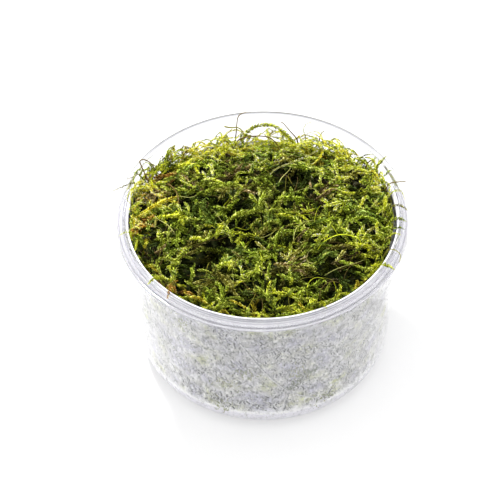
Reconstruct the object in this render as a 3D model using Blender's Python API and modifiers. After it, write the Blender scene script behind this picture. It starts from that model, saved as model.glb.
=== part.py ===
"""A clump of aquatic moss in an open, clear plastic culture cup, on a bed of nutrient gel.

The cup stands on z = 0 with the middle of its base at the origin. -Y is the side seen first,
where the moss comes up to the rim. At the back the moss has sunk and drawn off the wall.
"""

import math
import random

import bmesh
import bpy
from mathutils import Vector

MM = 0.001
GAP = 0.3 * MM  # room left between two pieces that touch
CAP_WELD = 0.001 * MM  # joins a tube's caps to its sides
AXIS_WELD = 0.01 * MM  # joins the turns of a turned shape

# The cup: a tapered wall with a rounded foot, and a flat lip with a raised bead round its mouth.
LIP_RADIUS = 40.0 * MM
CUP_HEIGHT = 50.0 * MM
MOUTH_RADIUS = 36.9 * MM
FOOT_RADIUS = 35.4 * MM
FOOT_ROUNDING = 7.3 * MM
WALL = 0.8 * MM
LIP_THICKNESS = 1.1 * MM
BEAD_HEIGHT = 0.5 * MM
BEAD_WIDTH = 0.7 * MM
EDGE_ROUNDING = 0.3 * MM
LIP_TOP = CUP_HEIGHT - BEAD_HEIGHT
LIP_UNDERSIDE = LIP_TOP - LIP_THICKNESS
TURN_STEPS = 48
FOOT_STEPS = 4

# The gel: poured into the cup, its top sloping down towards the back.
GEL_LEVEL = 43.2 * MM
GEL_SLOPE = math.radians(3.7)
CUTTING_BOX = 120.0 * MM
MOUTH_SPACE_REACH = 8.0 * MM

# The moss mat: high beside the rim at the front and the sides, low and narrow at the back.
MAT_CENTRE_TOP = 48.0 * MM
MAT_EDGE_TOP_FRONT = 47.6 * MM
MAT_EDGE_TOP_BACK = 42.6 * MM
MAT_RADIUS_FRONT = 35.9 * MM
MAT_RADIUS_BACK = 32.4 * MM
BACK_HALF_ANGLE = math.radians(75)
MAT_SAG_POWER = 3.0  # how late towards the wall the mat's top falls away
MAT_LUMP = 0.45 * MM
MAT_LUMP_LENGTH = 13.0 * MM
MAT_SEED = 7
MAT_SHOOTS = 150
MAT_SHOOT_LENGTH = (12.0 * MM, 22.0 * MM)
MAT_SHOOT_RADIUS = 1.15 * MM
MAT_SHOOT_POINTS = 9
MAT_SHOOT_HEADING = (0.35, 0.6)  # most lie across the cup: the mean and the spread, in radians
MAT_SHOOT_BEND = 0.9
GOLDEN_ANGLE = math.pi * (3.0 - math.sqrt(5.0))
MAT_RINGS = 8
MAT_DEPTH_BELOW_GEL = 6.0 * MM  # cut off at the gel's top afterwards
MAT_VOXEL = 0.55 * MM
MAT_KEPT_FACES = 0.0235

# Loose shoots. A leafy one swells at each whorl of leaves, and a bare one is an even stem.
LEAFY_RADIUS = 0.72 * MM
BARE_RADIUS = 0.26 * MM
WHORL_PITCH = 2.4 * MM
BETWEEN_WHORLS = 0.6
BARE_POINT_PITCH = 2.2 * MM
STEPS_BETWEEN_STATIONS = 12

# Colour, roughness, metallic and transmission of each kind of piece.
FINISHES = {
    "clear_plastic": ((0.86, 0.88, 0.9), 0.12, 0.0, 0.85),
    "gel": ((0.62, 0.63, 0.6), 0.3, 0.0, 0.3),
    "moss": ((0.1, 0.17, 0.016), 0.55, 0.0, 0.0),
    "young_shoot": ((0.42, 0.55, 0.05), 0.5, 0.0, 0.0),
    "pale_shoot": ((0.62, 0.6, 0.22), 0.5, 0.0, 0.0),
    "brown_stem": ((0.16, 0.075, 0.045), 0.6, 0.0, 0.0),
}

# Every loose shoot: name, kind, finish, and its route from foot to tip in millimetres.
LOOSE_SHOOTS = [
    ("looping_shoot", "leafy", "young_shoot",
     [(-5.6, 32.0, 42.6), (-4.9, 32.9, 46.4), (-2.6, 33.5, 49.4), (0.6, 33.6, 50.4), (3.4, 33.2, 50.4),
      (6.2, 31.2, 49.9), (8.6, 29.2, 48.4), (9.6, 28.4, 45.6), (9.4, 27.4, 43.4)]),
    ("arched_stem", "bare", "brown_stem",
     [(-8.2, 31.0, 43.0), (-6.4, 32.2, 46.0), (-2.4, 31.9, 47.7), (2.2, 31.4, 47.6), (4.6, 30.2, 45.4),
      (5.2, 29.2, 43.2)]),
    ("curly_stem", "bare", "brown_stem",
     [(-7.6, 33.0, 42.8), (-7.2, 34.5, 45.8), (-6.9, 35.2, 49.0), (-6.6, 35.6, 51.4), (-5.6, 35.9, 52.7),
      (-4.2, 36.1, 53.0)]),
    ("cross_stem", "bare", "moss",
     [(-10.4, 34.0, 49.6), (-8.6, 34.0, 49.1), (-6.8, 33.9, 49.3), (-5.4, 33.4, 48.4), (-4.9, 31.6, 47.9)]),
    ("thorny_stem", "bare", "brown_stem",
     [(10.6, 30.9, 43.4), (9.9, 31.8, 46.4), (8.2, 32.6, 48.6), (6.2, 33.9, 50.6), (5.4, 34.0, 51.1)]),
    ("pale_arc", "leafy", "pale_shoot",
     [(12.6, 31.8, 42.6), (12.3, 32.9, 46.0), (11.8, 33.0, 49.2), (12.8, 33.2, 51.2), (15.2, 33.0, 52.2)]),
    ("stub_stem", "bare", "moss",
     [(16.0, 29.9, 42.8), (16.2, 31.2, 45.9), (16.8, 31.9, 48.4), (17.6, 31.7, 49.6)]),
    ("back_pale_tip", "leafy", "pale_shoot",
     [(20.2, 26.4, 42.8), (20.6, 27.8, 45.2), (21.2, 28.6, 47.8)]),
    ("hooked_stem", "bare", "moss",
     [(23.6, 22.0, 43.6), (24.0, 22.0, 47.2), (24.5, 21.9, 49.6), (25.6, 21.9, 50.4), (26.4, 22.0, 49.8)]),
    ("looped_stem", "bare", "brown_stem",
     [(28.2, 18.4, 44.0), (28.8, 19.6, 47.4), (30.2, 19.8, 49.8), (31.6, 18.2, 49.4), (32.0, 15.8, 46.4),
      (31.4, 14.8, 44.2)]),
    ("back_right_tip", "leafy", "pale_shoot",
     [(31.0, 12.4, 44.2), (31.2, 14.4, 48.4), (31.7, 16.2, 50.9), (33.2, 18.0, 51.8), (34.6, 19.6, 51.9)]),
    ("right_brown_stem", "bare", "brown_stem",
     [(33.4, 9.2, 44.6), (34.0, 9.6, 49.2), (35.2, 10.0, 51.0), (39.3, 10.5, 51.1)]),
    ("right_pale_shoot", "leafy", "pale_shoot",
     [(33.0, 6.6, 45.0), (34.6, 7.4, 48.8), (36.6, 7.2, 51.3), (38.2, 5.8, 51.5), (38.7, 3.2, 51.3)]),
    ("right_green_tip", "leafy", "young_shoot",
     [(33.2, -1.6, 45.2), (34.8, -2.4, 49.0), (36.6, -3.2, 51.2), (38.6, -4.6, 51.4)]),
    ("right_thin_hook", "bare", "moss",
     [(32.0, -12.6, 45.4), (33.0, -13.4, 49.4), (34.8, -14.6, 51.3), (36.4, -16.6, 51.5),
      (36.1, -18.8, 51.0)]),
    ("right_front_tuft", "leafy", "young_shoot",
     [(29.4, -18.4, 45.6), (29.6, -18.8, 49.4), (31.0, -19.6, 51.5), (33.0, -20.6, 51.6),
      (34.9, -21.9, 51.4)]),
    ("front_tip", "leafy", "young_shoot",
     [(14.6, -30.4, 45.8), (14.9, -31.4, 49.6), (15.6, -33.0, 51.4), (16.4, -35.0, 51.5)]),
    ("front_left_strand", "leafy", "pale_shoot",
     [(-23.4, -24.9, 45.8), (-23.6, -25.5, 49.6), (-24.4, -27.0, 51.4), (-25.1, -30.8, 51.4)]),
    ("front_left_tuft", "leafy", "young_shoot",
     [(-26.2, -20.8, 45.8), (-27.0, -21.8, 49.4), (-28.8, -23.8, 51.4), (-30.4, -26.0, 51.5)]),
    ("left_green_tip", "leafy", "young_shoot",
     [(-33.4, -4.6, 45.4), (-35.0, -5.6, 49.0), (-36.8, -7.2, 51.3), (-38.6, -8.6, 51.4)]),
    ("left_grey_shoot", "leafy", "moss",
     [(-32.4, 12.0, 44.4), (-32.9, 11.6, 48.8), (-34.3, 10.9, 51.2), (-36.4, 10.2, 51.6),
      (-38.8, 9.0, 51.5), (-41.4, 7.8, 51.2)]),
    ("left_thin_stem", "bare", "brown_stem",
     [(-28.4, 16.8, 44.0), (-30.2, 16.4, 48.2), (-33.4, 14.6, 51.0), (-36.9, 12.4, 51.4)]),
    ("bent_brown_stem", "bare", "brown_stem",
     [(-30.6, 13.8, 44.2), (-31.6, 15.0, 48.4), (-33.2, 17.2, 51.6), (-33.6, 18.4, 52.4),
      (-32.2, 18.9, 52.2), (-30.6, 18.8, 50.8), (-29.4, 18.4, 48.0), (-28.9, 18.2, 44.4)]),
    ("brown_stem_on_top", "bare", "brown_stem",
     [(-27.2, 13.6, 45.2), (-25.8, 12.0, 49.6), (-23.4, 8.2, 50.3), (-22.8, 4.4, 49.8), (-22.9, 1.6, 46.2)]),
    ("long_pale_shoot", "leafy", "pale_shoot",
     [(2.6, 16.6, 46.0), (5.0, 18.6, 49.2), (9.6, 20.4, 50.0), (13.2, 23.0, 49.4), (16.4, 26.4, 48.4),
      (18.0, 28.2, 45.2)]),
    ("bright_shoot_left", "leafy", "young_shoot",
     [(-17.2, 8.6, 46.2), (-14.6, 9.2, 49.8), (-11.0, 10.0, 50.5), (-7.0, 10.8, 50.2), (-5.4, 11.2, 47.4)]),
    ("bright_shoot_middle", "leafy", "young_shoot",
     [(-11.0, -2.4, 46.4), (-8.6, -1.6, 50.0), (-4.6, -0.4, 50.8), (-0.6, 0.8, 50.5), (1.4, 1.6, 47.4)]),
    ("bright_shoot_right", "leafy", "young_shoot",
     [(13.2, -12.6, 46.4), (14.6, -10.8, 50.0), (17.0, -7.2, 50.7), (18.8, -3.8, 50.2), (19.6, -2.2, 47.6)]),
    ("thin_pale_arc", "bare", "young_shoot",
     [(16.8, -13.4, 46.2), (19.0, -11.0, 50.4), (22.0, -8.6, 51.4), (25.2, -8.0, 50.2), (27.0, -8.2, 46.4)]),
]


def remove_everything():
    for old_object in list(bpy.data.objects):
        bpy.data.objects.remove(old_object, do_unlink=True)


def new_collection(name, shown):
    collection = bpy.data.collections.new(name)
    collection.hide_render = not shown
    bpy.context.scene.collection.children.link(collection)
    return collection


def make_finish(name):
    colour, roughness, metallic, transmission = FINISHES[name]
    material = bpy.data.materials.new(name)
    material.use_nodes = True
    shader = material.node_tree.nodes["Principled BSDF"]
    shader.inputs["Base Color"].default_value = (*colour, 1.0)
    shader.inputs["Roughness"].default_value = roughness
    shader.inputs["Metallic"].default_value = metallic
    shader.inputs["Transmission Weight"].default_value = transmission
    material.diffuse_color = (*colour, 1.0)
    return material


def add_object(name, data, collection, finish=None):
    made = bpy.data.objects.new(name, data)
    collection.objects.link(made)
    if finish:
        data.materials.append(finish)
    return made


def add_cutter(name, data):
    """A shape that only takes material away: it is drawn as wires and left out of the model."""
    cutter = add_object(name, data, cutters)
    cutter.hide_render = True
    cutter.display_type = "WIRE"
    return cutter


def mesh_of(source):
    """The object's shape with its modifiers worked out, as a mesh of its own with its caps welded."""
    bpy.context.view_layer.update()
    evaluated = source.evaluated_get(bpy.context.evaluated_depsgraph_get())
    mesh = bpy.data.meshes.new_from_object(evaluated)
    shape = bmesh.new()
    shape.from_mesh(mesh)
    bmesh.ops.remove_doubles(shape, verts=shape.verts, dist=CAP_WELD)
    shape.to_mesh(mesh)
    shape.free()
    return mesh


def arc(centre, radius, start_degrees, end_degrees, steps):
    """Points (r, z) on a round stretch of a turned outline."""
    points = []
    for step in range(steps + 1):
        angle = math.radians(start_degrees + (end_degrees - start_degrees) * step / steps)
        points.append((centre[0] + radius * math.cos(angle), centre[1] + radius * math.sin(angle)))
    return points


def inner_wall(height):
    """The radius of the cup's inner wall at a height."""
    share = (height - FOOT_ROUNDING) / (CUP_HEIGHT - FOOT_ROUNDING)
    foot = FOOT_RADIUS - WALL
    return foot + (MOUTH_RADIUS - foot) * share


def turned(name, outline):
    """A mesh object turned about Z from an outline of (r, z) points, whose outer side runs downwards."""
    mesh = bpy.data.meshes.new(name)
    shape = bmesh.new()
    corners = [shape.verts.new((radius, 0.0, height)) for radius, height in outline]
    for first, second in zip(corners, corners[1:]):
        shape.edges.new((first, second))
    shape.to_mesh(mesh)
    shape.free()
    made = bpy.data.objects.new(name, mesh)
    screw = made.modifiers.new("turn", "SCREW")
    screw.steps = TURN_STEPS
    screw.render_steps = TURN_STEPS
    screw.use_merge_vertices = True
    screw.merge_threshold = AXIS_WELD
    screw.use_smooth_shade = True
    return made


def build_cup(finish):
    foot_centre = (FOOT_RADIUS - FOOT_ROUNDING, FOOT_ROUNDING)
    bead_outside = MOUTH_RADIUS + BEAD_WIDTH
    outline = [(0.0, WALL)]
    outline += arc(foot_centre, FOOT_ROUNDING - WALL, -90, 0, FOOT_STEPS)
    outline += [
        (MOUTH_RADIUS, CUP_HEIGHT - EDGE_ROUNDING),
        (MOUTH_RADIUS + EDGE_ROUNDING, CUP_HEIGHT),
        (bead_outside, CUP_HEIGHT),
        (bead_outside + EDGE_ROUNDING, LIP_TOP),
        (LIP_RADIUS - EDGE_ROUNDING, LIP_TOP),
        (LIP_RADIUS, LIP_TOP - EDGE_ROUNDING),
        (LIP_RADIUS, LIP_UNDERSIDE + EDGE_ROUNDING),
        (LIP_RADIUS - EDGE_ROUNDING, LIP_UNDERSIDE),
        (inner_wall(LIP_UNDERSIDE) + WALL, LIP_UNDERSIDE),
    ]
    outline += arc(foot_centre, FOOT_ROUNDING, 0, -90, FOOT_STEPS)
    outline += [(0.0, 0.0)]
    cup = turned("cup", outline)
    parts.objects.link(cup)
    cup.data.materials.append(finish)


def half_space(name, gap, above):
    """A big box on one side of the gel's sloping top."""
    mesh = bpy.data.meshes.new(name)
    shape = bmesh.new()
    bmesh.ops.create_cube(shape, size=CUTTING_BOX)
    rise = CUTTING_BOX / 2 if above else -CUTTING_BOX / 2
    bmesh.ops.translate(shape, verts=shape.verts, vec=(0.0, 0.0, rise))
    shape.to_mesh(mesh)
    shape.free()
    box = add_cutter(name, mesh)
    box.location.z = GEL_LEVEL + gap
    box.rotation_euler.x = -GEL_SLOPE
    return box


def boolean(target, operation, cutter):
    step = target.modifiers.new(operation.lower() + "_" + cutter.name, "BOOLEAN")
    step.operation = operation
    step.object = cutter


def build_gel(finish):
    foot_centre = (FOOT_RADIUS - FOOT_ROUNDING, FOOT_ROUNDING)
    brim = LIP_UNDERSIDE
    outline = [(0.0, brim), (inner_wall(brim) - GAP, brim)]
    outline += arc(foot_centre, FOOT_ROUNDING - WALL - GAP, 0, -90, FOOT_STEPS)
    outline += [(0.0, WALL + GAP)]
    gel = turned("nutrient_gel", outline)
    parts.objects.link(gel)
    gel.data.materials.append(finish)
    boolean(gel, "DIFFERENCE", half_space("above_the_gel", 0.0, above=True))


def backness(x, y):
    """0 over the front and the sides of the cup and 1 at the middle of its back."""
    angle_off_back = abs(math.atan2(x, y))
    share = max(0.0, 1.0 - angle_off_back / BACK_HALF_ANGLE)
    return share * share * (3.0 - 2.0 * share)


def mat_radius(x, y):
    return MAT_RADIUS_FRONT + (MAT_RADIUS_BACK - MAT_RADIUS_FRONT) * backness(x, y)


def mat_top(x, y):
    """The height of the moss cushion, without its shoots."""
    back = backness(x, y)
    edge_top = MAT_EDGE_TOP_FRONT + (MAT_EDGE_TOP_BACK - MAT_EDGE_TOP_FRONT) * back
    out = min(1.0, math.hypot(x, y) / mat_radius(x, y))
    sag = out ** MAT_SAG_POWER
    wave = 2.0 * math.pi / MAT_LUMP_LENGTH
    hummocks = math.sin(wave * x + 0.7) * math.sin(wave * 0.8 * y + 1.9)
    swells = 0.6 * math.sin(wave * 0.55 * (x + y))
    lumps = MAT_LUMP * (hummocks + swells) * (1.0 - 0.6 * sag)
    return MAT_CENTRE_TOP + (edge_top - MAT_CENTRE_TOP) * sag + lumps


def mat_core():
    """The closed cushion under the shoots: a disc of rings with a lumpy top, and its flat underside."""
    shape = bmesh.new()
    ring_radii = [MAT_RADIUS_FRONT * ring / MAT_RINGS for ring in range(MAT_RINGS + 1)]
    corners = [shape.verts.new((radius, 0.0, 0.0)) for radius in ring_radii]
    spoke = [shape.edges.new(pair) for pair in zip(corners, corners[1:])]
    bmesh.ops.spin(
        shape, geom=spoke, cent=(0, 0, 0), axis=(0, 0, 1), angle=math.tau, steps=TURN_STEPS, use_merge=True
    )
    bmesh.ops.remove_doubles(shape, verts=shape.verts, dist=AXIS_WELD)
    raised = bmesh.ops.extrude_face_region(shape, geom=shape.faces[:])["geom"]
    for corner in shape.verts:
        narrowing = mat_radius(corner.co.x, corner.co.y) / MAT_RADIUS_FRONT
        corner.co.x *= narrowing
        corner.co.y *= narrowing
        corner.co.z = GEL_LEVEL - MAT_DEPTH_BELOW_GEL
    for corner in raised:
        if isinstance(corner, bmesh.types.BMVert):
            corner.co.z = mat_top(corner.co.x, corner.co.y) - 0.3 * MAT_SHOOT_RADIUS
    bmesh.ops.recalc_face_normals(shape, faces=shape.faces)
    return shape


def shoot_route_on_mat(number, dice):
    """A shoot that lies on the cushion, its foot and its tip sunk in. The shoots are spread evenly."""
    distance = MAT_RADIUS_FRONT * math.sqrt((number + 0.5) / MAT_SHOOTS)
    around = number * GOLDEN_ANGLE
    heading = dice.gauss(*MAT_SHOOT_HEADING)
    bend = dice.uniform(-MAT_SHOOT_BEND, MAT_SHOOT_BEND)
    length = dice.uniform(*MAT_SHOOT_LENGTH)
    middle = Vector((distance * math.cos(around), distance * math.sin(around), 0.0))
    place = middle - Vector((math.cos(heading), math.sin(heading), 0.0)) * length / 2
    step = length / (MAT_SHOOT_POINTS - 1)
    points = []
    for index in range(MAT_SHOOT_POINTS):
        share = index / (MAT_SHOOT_POINTS - 1)
        lift = MAT_SHOOT_RADIUS * (-0.7 + 1.1 * math.sin(math.pi * share))
        reach = min(1.0, mat_radius(place.x, place.y) / max(place.length, MM))
        points.append(Vector((place.x * reach, place.y * reach, mat_top(place.x, place.y) + lift)))
        angle = heading + bend * (share - 0.5)
        place += Vector((math.cos(angle), math.sin(angle), 0.0)) * step
    return points


def curve_tube(name, routes, radius, swell):
    """A curve object with one tube for each route, whose thickness along it swell gives."""
    curve = bpy.data.curves.new(name, "CURVE")
    curve.dimensions = "3D"
    curve.bevel_depth = radius
    curve.bevel_resolution = 1
    curve.use_fill_caps = True
    for route in routes:
        spline = curve.splines.new("POLY")
        spline.points.add(len(route) - 1)
        for index, (point, place) in enumerate(zip(spline.points, route)):
            point.co = (*place, 1.0)
            point.radius = swell(index, len(route))
    return curve


def leafy_swell(index, count):
    """Thin at the foot and the tip, and wider at every second point, where a whorl of leaves stands."""
    share = index / (count - 1)
    taper = min(1.0, 0.45 + 2.2 * share, 0.3 + 2.6 * (1.0 - share))
    return taper * (1.0 if index % 2 else BETWEEN_WHORLS)


def even_swell(index, count):
    return 1.0


def mat_shoot_swell(index, count):
    share = index / (count - 1)
    return min(1.0, 0.5 + 2.0 * share, 0.25 + 2.6 * (1.0 - share))


def bare_swell(index, count):
    return 1.0 - 0.35 * index / (count - 1)


def build_mat(finish):
    dice = random.Random(MAT_SEED)
    routes = [shoot_route_on_mat(number, dice) for number in range(MAT_SHOOTS)]
    tube_curve = curve_tube("shoots_on_mat", routes, MAT_SHOOT_RADIUS, mat_shoot_swell)
    tubes = add_cutter("shoots_on_mat", tube_curve)
    shape = mat_core()
    shape.from_mesh(mesh_of(tubes))
    rough = bpy.data.meshes.new("rough_mat")
    shape.to_mesh(rough)
    shape.free()
    bpy.data.objects.remove(tubes, do_unlink=True)
    mat = add_object("rough_mat", rough, parts)
    fuse = mat.modifiers.new("fuse", "REMESH")
    fuse.mode = "VOXEL"
    fuse.voxel_size = MAT_VOXEL
    thin_out = mat.modifiers.new("thin_out", "DECIMATE")
    thin_out.ratio = MAT_KEPT_FACES
    boolean(mat, "INTERSECT", mouth_space())
    boolean(mat, "DIFFERENCE", half_space("under_the_mat", GAP, above=False))
    cleared = mat.modifiers.new("room_for_loose_shoots", "BOOLEAN")
    cleared.operation = "DIFFERENCE"
    cleared.operand_type = "COLLECTION"
    cleared.collection = clearances
    mesh = mesh_of(mat)
    mesh.name = "moss_mat"
    keep_largest_body(mesh)
    mesh.materials.clear()
    add_object("moss_mat", mesh, parts, finish)
    bpy.data.objects.remove(mat, do_unlink=True)


def mouth_space():
    """The room inside the cup's wall, carried on upwards, with a gap to the wall."""
    low = GEL_LEVEL - MOUTH_SPACE_REACH
    high = CUP_HEIGHT + MOUTH_SPACE_REACH
    outline = [(0.0, high), (MOUTH_RADIUS - GAP, high), (MOUTH_RADIUS - GAP, CUP_HEIGHT)]
    outline += [(inner_wall(low) - GAP, low), (0.0, low)]
    return add_cutter("inside_the_mouth", mesh_of_new(turned("mouth_space", outline)))


def mesh_of_new(made):
    """The mesh of an object that is in no collection yet, which is removed afterwards."""
    cutters.objects.link(made)
    mesh = mesh_of(made)
    bpy.data.objects.remove(made, do_unlink=True)
    return mesh


def keep_largest_body(mesh):
    """Drops the crumbs that a cut may have parted from the mat."""
    shape = bmesh.new()
    shape.from_mesh(mesh)
    unseen = set(shape.faces)
    bodies = []
    while unseen:
        body = []
        waiting = [unseen.pop()]
        while waiting:
            face = waiting.pop()
            body.append(face)
            plain_edges = [edge for edge in face.edges if len(edge.link_faces) == 2]
            near = {other for edge in plain_edges for other in edge.link_faces} & unseen
            unseen -= near
            waiting.extend(near)
        bodies.append(body)
    bodies.sort(key=len)
    crumbs = [face for body in bodies[:-1] for face in body]
    bmesh.ops.delete(shape, geom=crumbs, context="FACES")
    # Many-sided faces are parted here, so that no two of them share a diagonal.
    bmesh.ops.triangulate(shape, faces=shape.faces, ngon_method="BEAUTY")
    shape.to_mesh(mesh)
    shape.free()


def smooth_route(stations, pitch):
    """Points at an even pitch on a smooth curve through the stations, in metres."""
    knots = [Vector(station) * MM for station in stations]
    knots = [knots[0] * 2 - knots[1]] + knots + [knots[-1] * 2 - knots[-2]]
    fine = []
    for before, start, end, after in zip(knots, knots[1:], knots[2:], knots[3:]):
        for step in range(STEPS_BETWEEN_STATIONS):
            t = step / STEPS_BETWEEN_STATIONS
            bend = before * (-t + 2 * t ** 2 - t ** 3) + start * (2 - 5 * t ** 2 + 3 * t ** 3)
            bend += end * (t + 4 * t ** 2 - 3 * t ** 3) + after * (t ** 3 - t ** 2)
            fine.append(bend / 2)
    fine.append(knots[-2])
    lengths = [0.0]
    for first, second in zip(fine, fine[1:]):
        lengths.append(lengths[-1] + (second - first).length)
    count = max(3, round(lengths[-1] / pitch) + 1)
    route = []
    at = 0
    for index in range(count):
        wanted = lengths[-1] * index / (count - 1)
        while at < len(fine) - 2 and lengths[at + 1] < wanted:
            at += 1
        share = (wanted - lengths[at]) / (lengths[at + 1] - lengths[at])
        route.append(fine[at].lerp(fine[at + 1], share))
    return route


def build_loose_shoot(name, kind, stations, finish):
    radius = LEAFY_RADIUS if kind == "leafy" else BARE_RADIUS
    swell = leafy_swell if kind == "leafy" else bare_swell
    pitch = WHORL_PITCH / 2 if kind == "leafy" else BARE_POINT_PITCH
    add_object(name, curve_tube(name, [smooth_route(stations, pitch)], radius, swell), parts, finish)
    room_route = smooth_route(stations, BARE_POINT_PITCH)
    room = curve_tube(name, [room_route], radius + GAP, even_swell)
    room_tube = bpy.data.objects.new("room_for_" + name, room)
    cutter = add_cutter("room_" + name, mesh_of_new(room_tube))
    cutters.objects.unlink(cutter)
    clearances.objects.link(cutter)


remove_everything()
parts = new_collection("moss_clump", shown=True)
cutters = new_collection("cutters", shown=False)
clearances = new_collection("clearances", shown=False)
finishes = {name: make_finish(name) for name in FINISHES}

build_cup(finishes["clear_plastic"])
build_gel(finishes["gel"])
for shoot_name, shoot_kind, shoot_finish, shoot_stations in LOOSE_SHOOTS:
    build_loose_shoot(shoot_name, shoot_kind, shoot_stations, finishes[shoot_finish])
build_mat(finishes["moss"])
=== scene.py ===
# %% [markdown]
# # A clump of moss in a clear culture cup
#
# The real object is a small open plastic cup. A cloudy gel fills it, and on the gel lies a tangle of
# leafy moss shoots that comes up to the rim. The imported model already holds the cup, the gel, a plain
# solid for the tangle and one for each loose shoot. This notebook dresses them: every leaf becomes a
# small blade, the cup becomes clear, and the gel gets its cloudy, bubbly skin.

# %% Load the frame
import math
import random
from collections import namedtuple

import bmesh
import bpy
import numpy as np
from mathutils import Matrix, Vector, noise


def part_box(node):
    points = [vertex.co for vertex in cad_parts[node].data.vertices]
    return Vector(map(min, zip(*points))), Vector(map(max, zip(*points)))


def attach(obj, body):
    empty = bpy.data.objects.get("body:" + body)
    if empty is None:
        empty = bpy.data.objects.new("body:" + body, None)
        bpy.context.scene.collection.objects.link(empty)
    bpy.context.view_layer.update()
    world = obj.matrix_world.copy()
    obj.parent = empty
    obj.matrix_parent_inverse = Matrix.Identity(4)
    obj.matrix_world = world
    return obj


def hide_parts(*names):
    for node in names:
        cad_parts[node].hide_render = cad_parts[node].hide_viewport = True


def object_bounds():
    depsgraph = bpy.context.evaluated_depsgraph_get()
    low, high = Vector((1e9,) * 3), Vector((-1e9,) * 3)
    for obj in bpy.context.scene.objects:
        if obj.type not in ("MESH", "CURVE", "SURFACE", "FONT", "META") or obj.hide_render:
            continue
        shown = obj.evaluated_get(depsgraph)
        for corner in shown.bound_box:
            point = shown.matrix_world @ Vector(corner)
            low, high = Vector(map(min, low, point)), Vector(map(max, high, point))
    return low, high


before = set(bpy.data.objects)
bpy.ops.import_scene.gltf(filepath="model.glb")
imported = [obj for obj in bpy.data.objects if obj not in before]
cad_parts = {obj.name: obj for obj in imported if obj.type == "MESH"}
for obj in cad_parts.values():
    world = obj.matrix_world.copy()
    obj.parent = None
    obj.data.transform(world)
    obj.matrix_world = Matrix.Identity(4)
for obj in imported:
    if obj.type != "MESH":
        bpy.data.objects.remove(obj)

cad_low, cad_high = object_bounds()
print("CAD box in mm:", [round(v * 1000, 1) for v in (*cad_low, *cad_high)])

# %% [markdown]
# ## Measures
#
# The cup's height and its lip's radius are read from the frame, so the notebook follows the solids if
# they change. The other measures are those of the moulded cup: its foot, its wall and its lip. The gel's
# top is a plane that slopes down to the back.

# %% Measures of the cup and the gel
MM = 0.001
GAP = 0.3 * MM
cup_low, cup_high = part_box("cup")
LIP_RADIUS = cup_high.x
CUP_HEIGHT = cup_high.z
MOUTH_RADIUS = 36.9 * MM
FOOT_RADIUS = 35.4 * MM
FOOT_ROUNDING = 7.3 * MM
WALL = 0.8 * MM
LIP_THICKNESS = 1.1 * MM
BEAD_HEIGHT = 0.5 * MM
BEAD_WIDTH = 0.7 * MM
EDGE_ROUNDING = 0.3 * MM
LIP_ROUNDING = 0.12 * MM
LIP_TOP = CUP_HEIGHT - BEAD_HEIGHT
LIP_UNDERSIDE = LIP_TOP - LIP_THICKNESS

GEL_LEVEL = 43.2 * MM
GEL_SLOPE = math.radians(3.7)


def inner_wall(height):
    """The radius of the cup's inner wall at a height."""
    share = (height - FOOT_ROUNDING) / (CUP_HEIGHT - FOOT_ROUNDING)
    foot = FOOT_RADIUS - WALL
    return foot + (MOUTH_RADIUS - foot) * share


def gel_top(y):
    """The gel's surface slopes down to the back."""
    return GEL_LEVEL - math.tan(GEL_SLOPE) * y


print("cup in mm:", round(LIP_RADIUS * 2000, 1), "wide,", round(CUP_HEIGHT * 1000, 1), "tall")

# %% [markdown]
# ## The cushion's shape
#
# The moss is a low cushion. At the front and the sides it comes up to the rim, and at the back it sinks
# and keeps a gap to the wall. Two formulas give its edge and its top, and every shoot is laid by them, so
# the tangle has the same form as its solid. The lumps are slow waves, as in a real clump.

# %% The cushion's shape
MAT_CENTRE_TOP = 48.0 * MM
MAT_EDGE_TOP_FRONT = 47.6 * MM
MAT_EDGE_TOP_BACK = 42.6 * MM
MAT_RADIUS_FRONT = 35.9 * MM
MAT_RADIUS_BACK = 32.4 * MM
BACK_HALF_ANGLE = math.radians(75)
MAT_LUMP = 0.45 * MM
MAT_LUMP_LENGTH = 13.0 * MM


def backness(x, y):
    """0 over the front and the sides of the cup and 1 at the middle of its back."""
    share = max(0.0, 1.0 - abs(math.atan2(x, y)) / BACK_HALF_ANGLE)
    return share * share * (3.0 - 2.0 * share)


def mat_radius(x, y):
    return MAT_RADIUS_FRONT + (MAT_RADIUS_BACK - MAT_RADIUS_FRONT) * backness(x, y)


def mat_top(x, y):
    """The height of the moss cushion's top, without the shoots that stand out of it."""
    edge_top = MAT_EDGE_TOP_FRONT + (MAT_EDGE_TOP_BACK - MAT_EDGE_TOP_FRONT) * backness(x, y)
    sag = min(1.0, math.hypot(x, y) / mat_radius(x, y)) ** 3.0
    wave = 2.0 * math.pi / MAT_LUMP_LENGTH
    hummocks = math.sin(wave * x + 0.7) * math.sin(wave * 0.8 * y + 1.9)
    swells = 0.6 * math.sin(wave * 0.55 * (x + y))
    lumps = MAT_LUMP * (hummocks + swells) * (1.0 - 0.6 * sag)
    return MAT_CENTRE_TOP + (edge_top - MAT_CENTRE_TOP) * sag + lumps


print("cushion's top in mm:", round(mat_top(0.0, 0.0) / MM, 1), "at the middle")

# %% [markdown]
# ## Camera
#
# The photographer stood about 0.6 m away with a long lens and looked down at 47.5 degrees. The rim's
# ellipse gives that angle. A small shift keeps the cup a little right of the middle and above it.

# %% Camera
LENS_MM = 159.6
CAMERA_DISTANCE = 0.6
CAMERA_ELEVATION = math.radians(47.5)
CAMERA_ROLL = math.radians(-0.76)
SHIFT = (-0.025, -0.0716)

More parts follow.
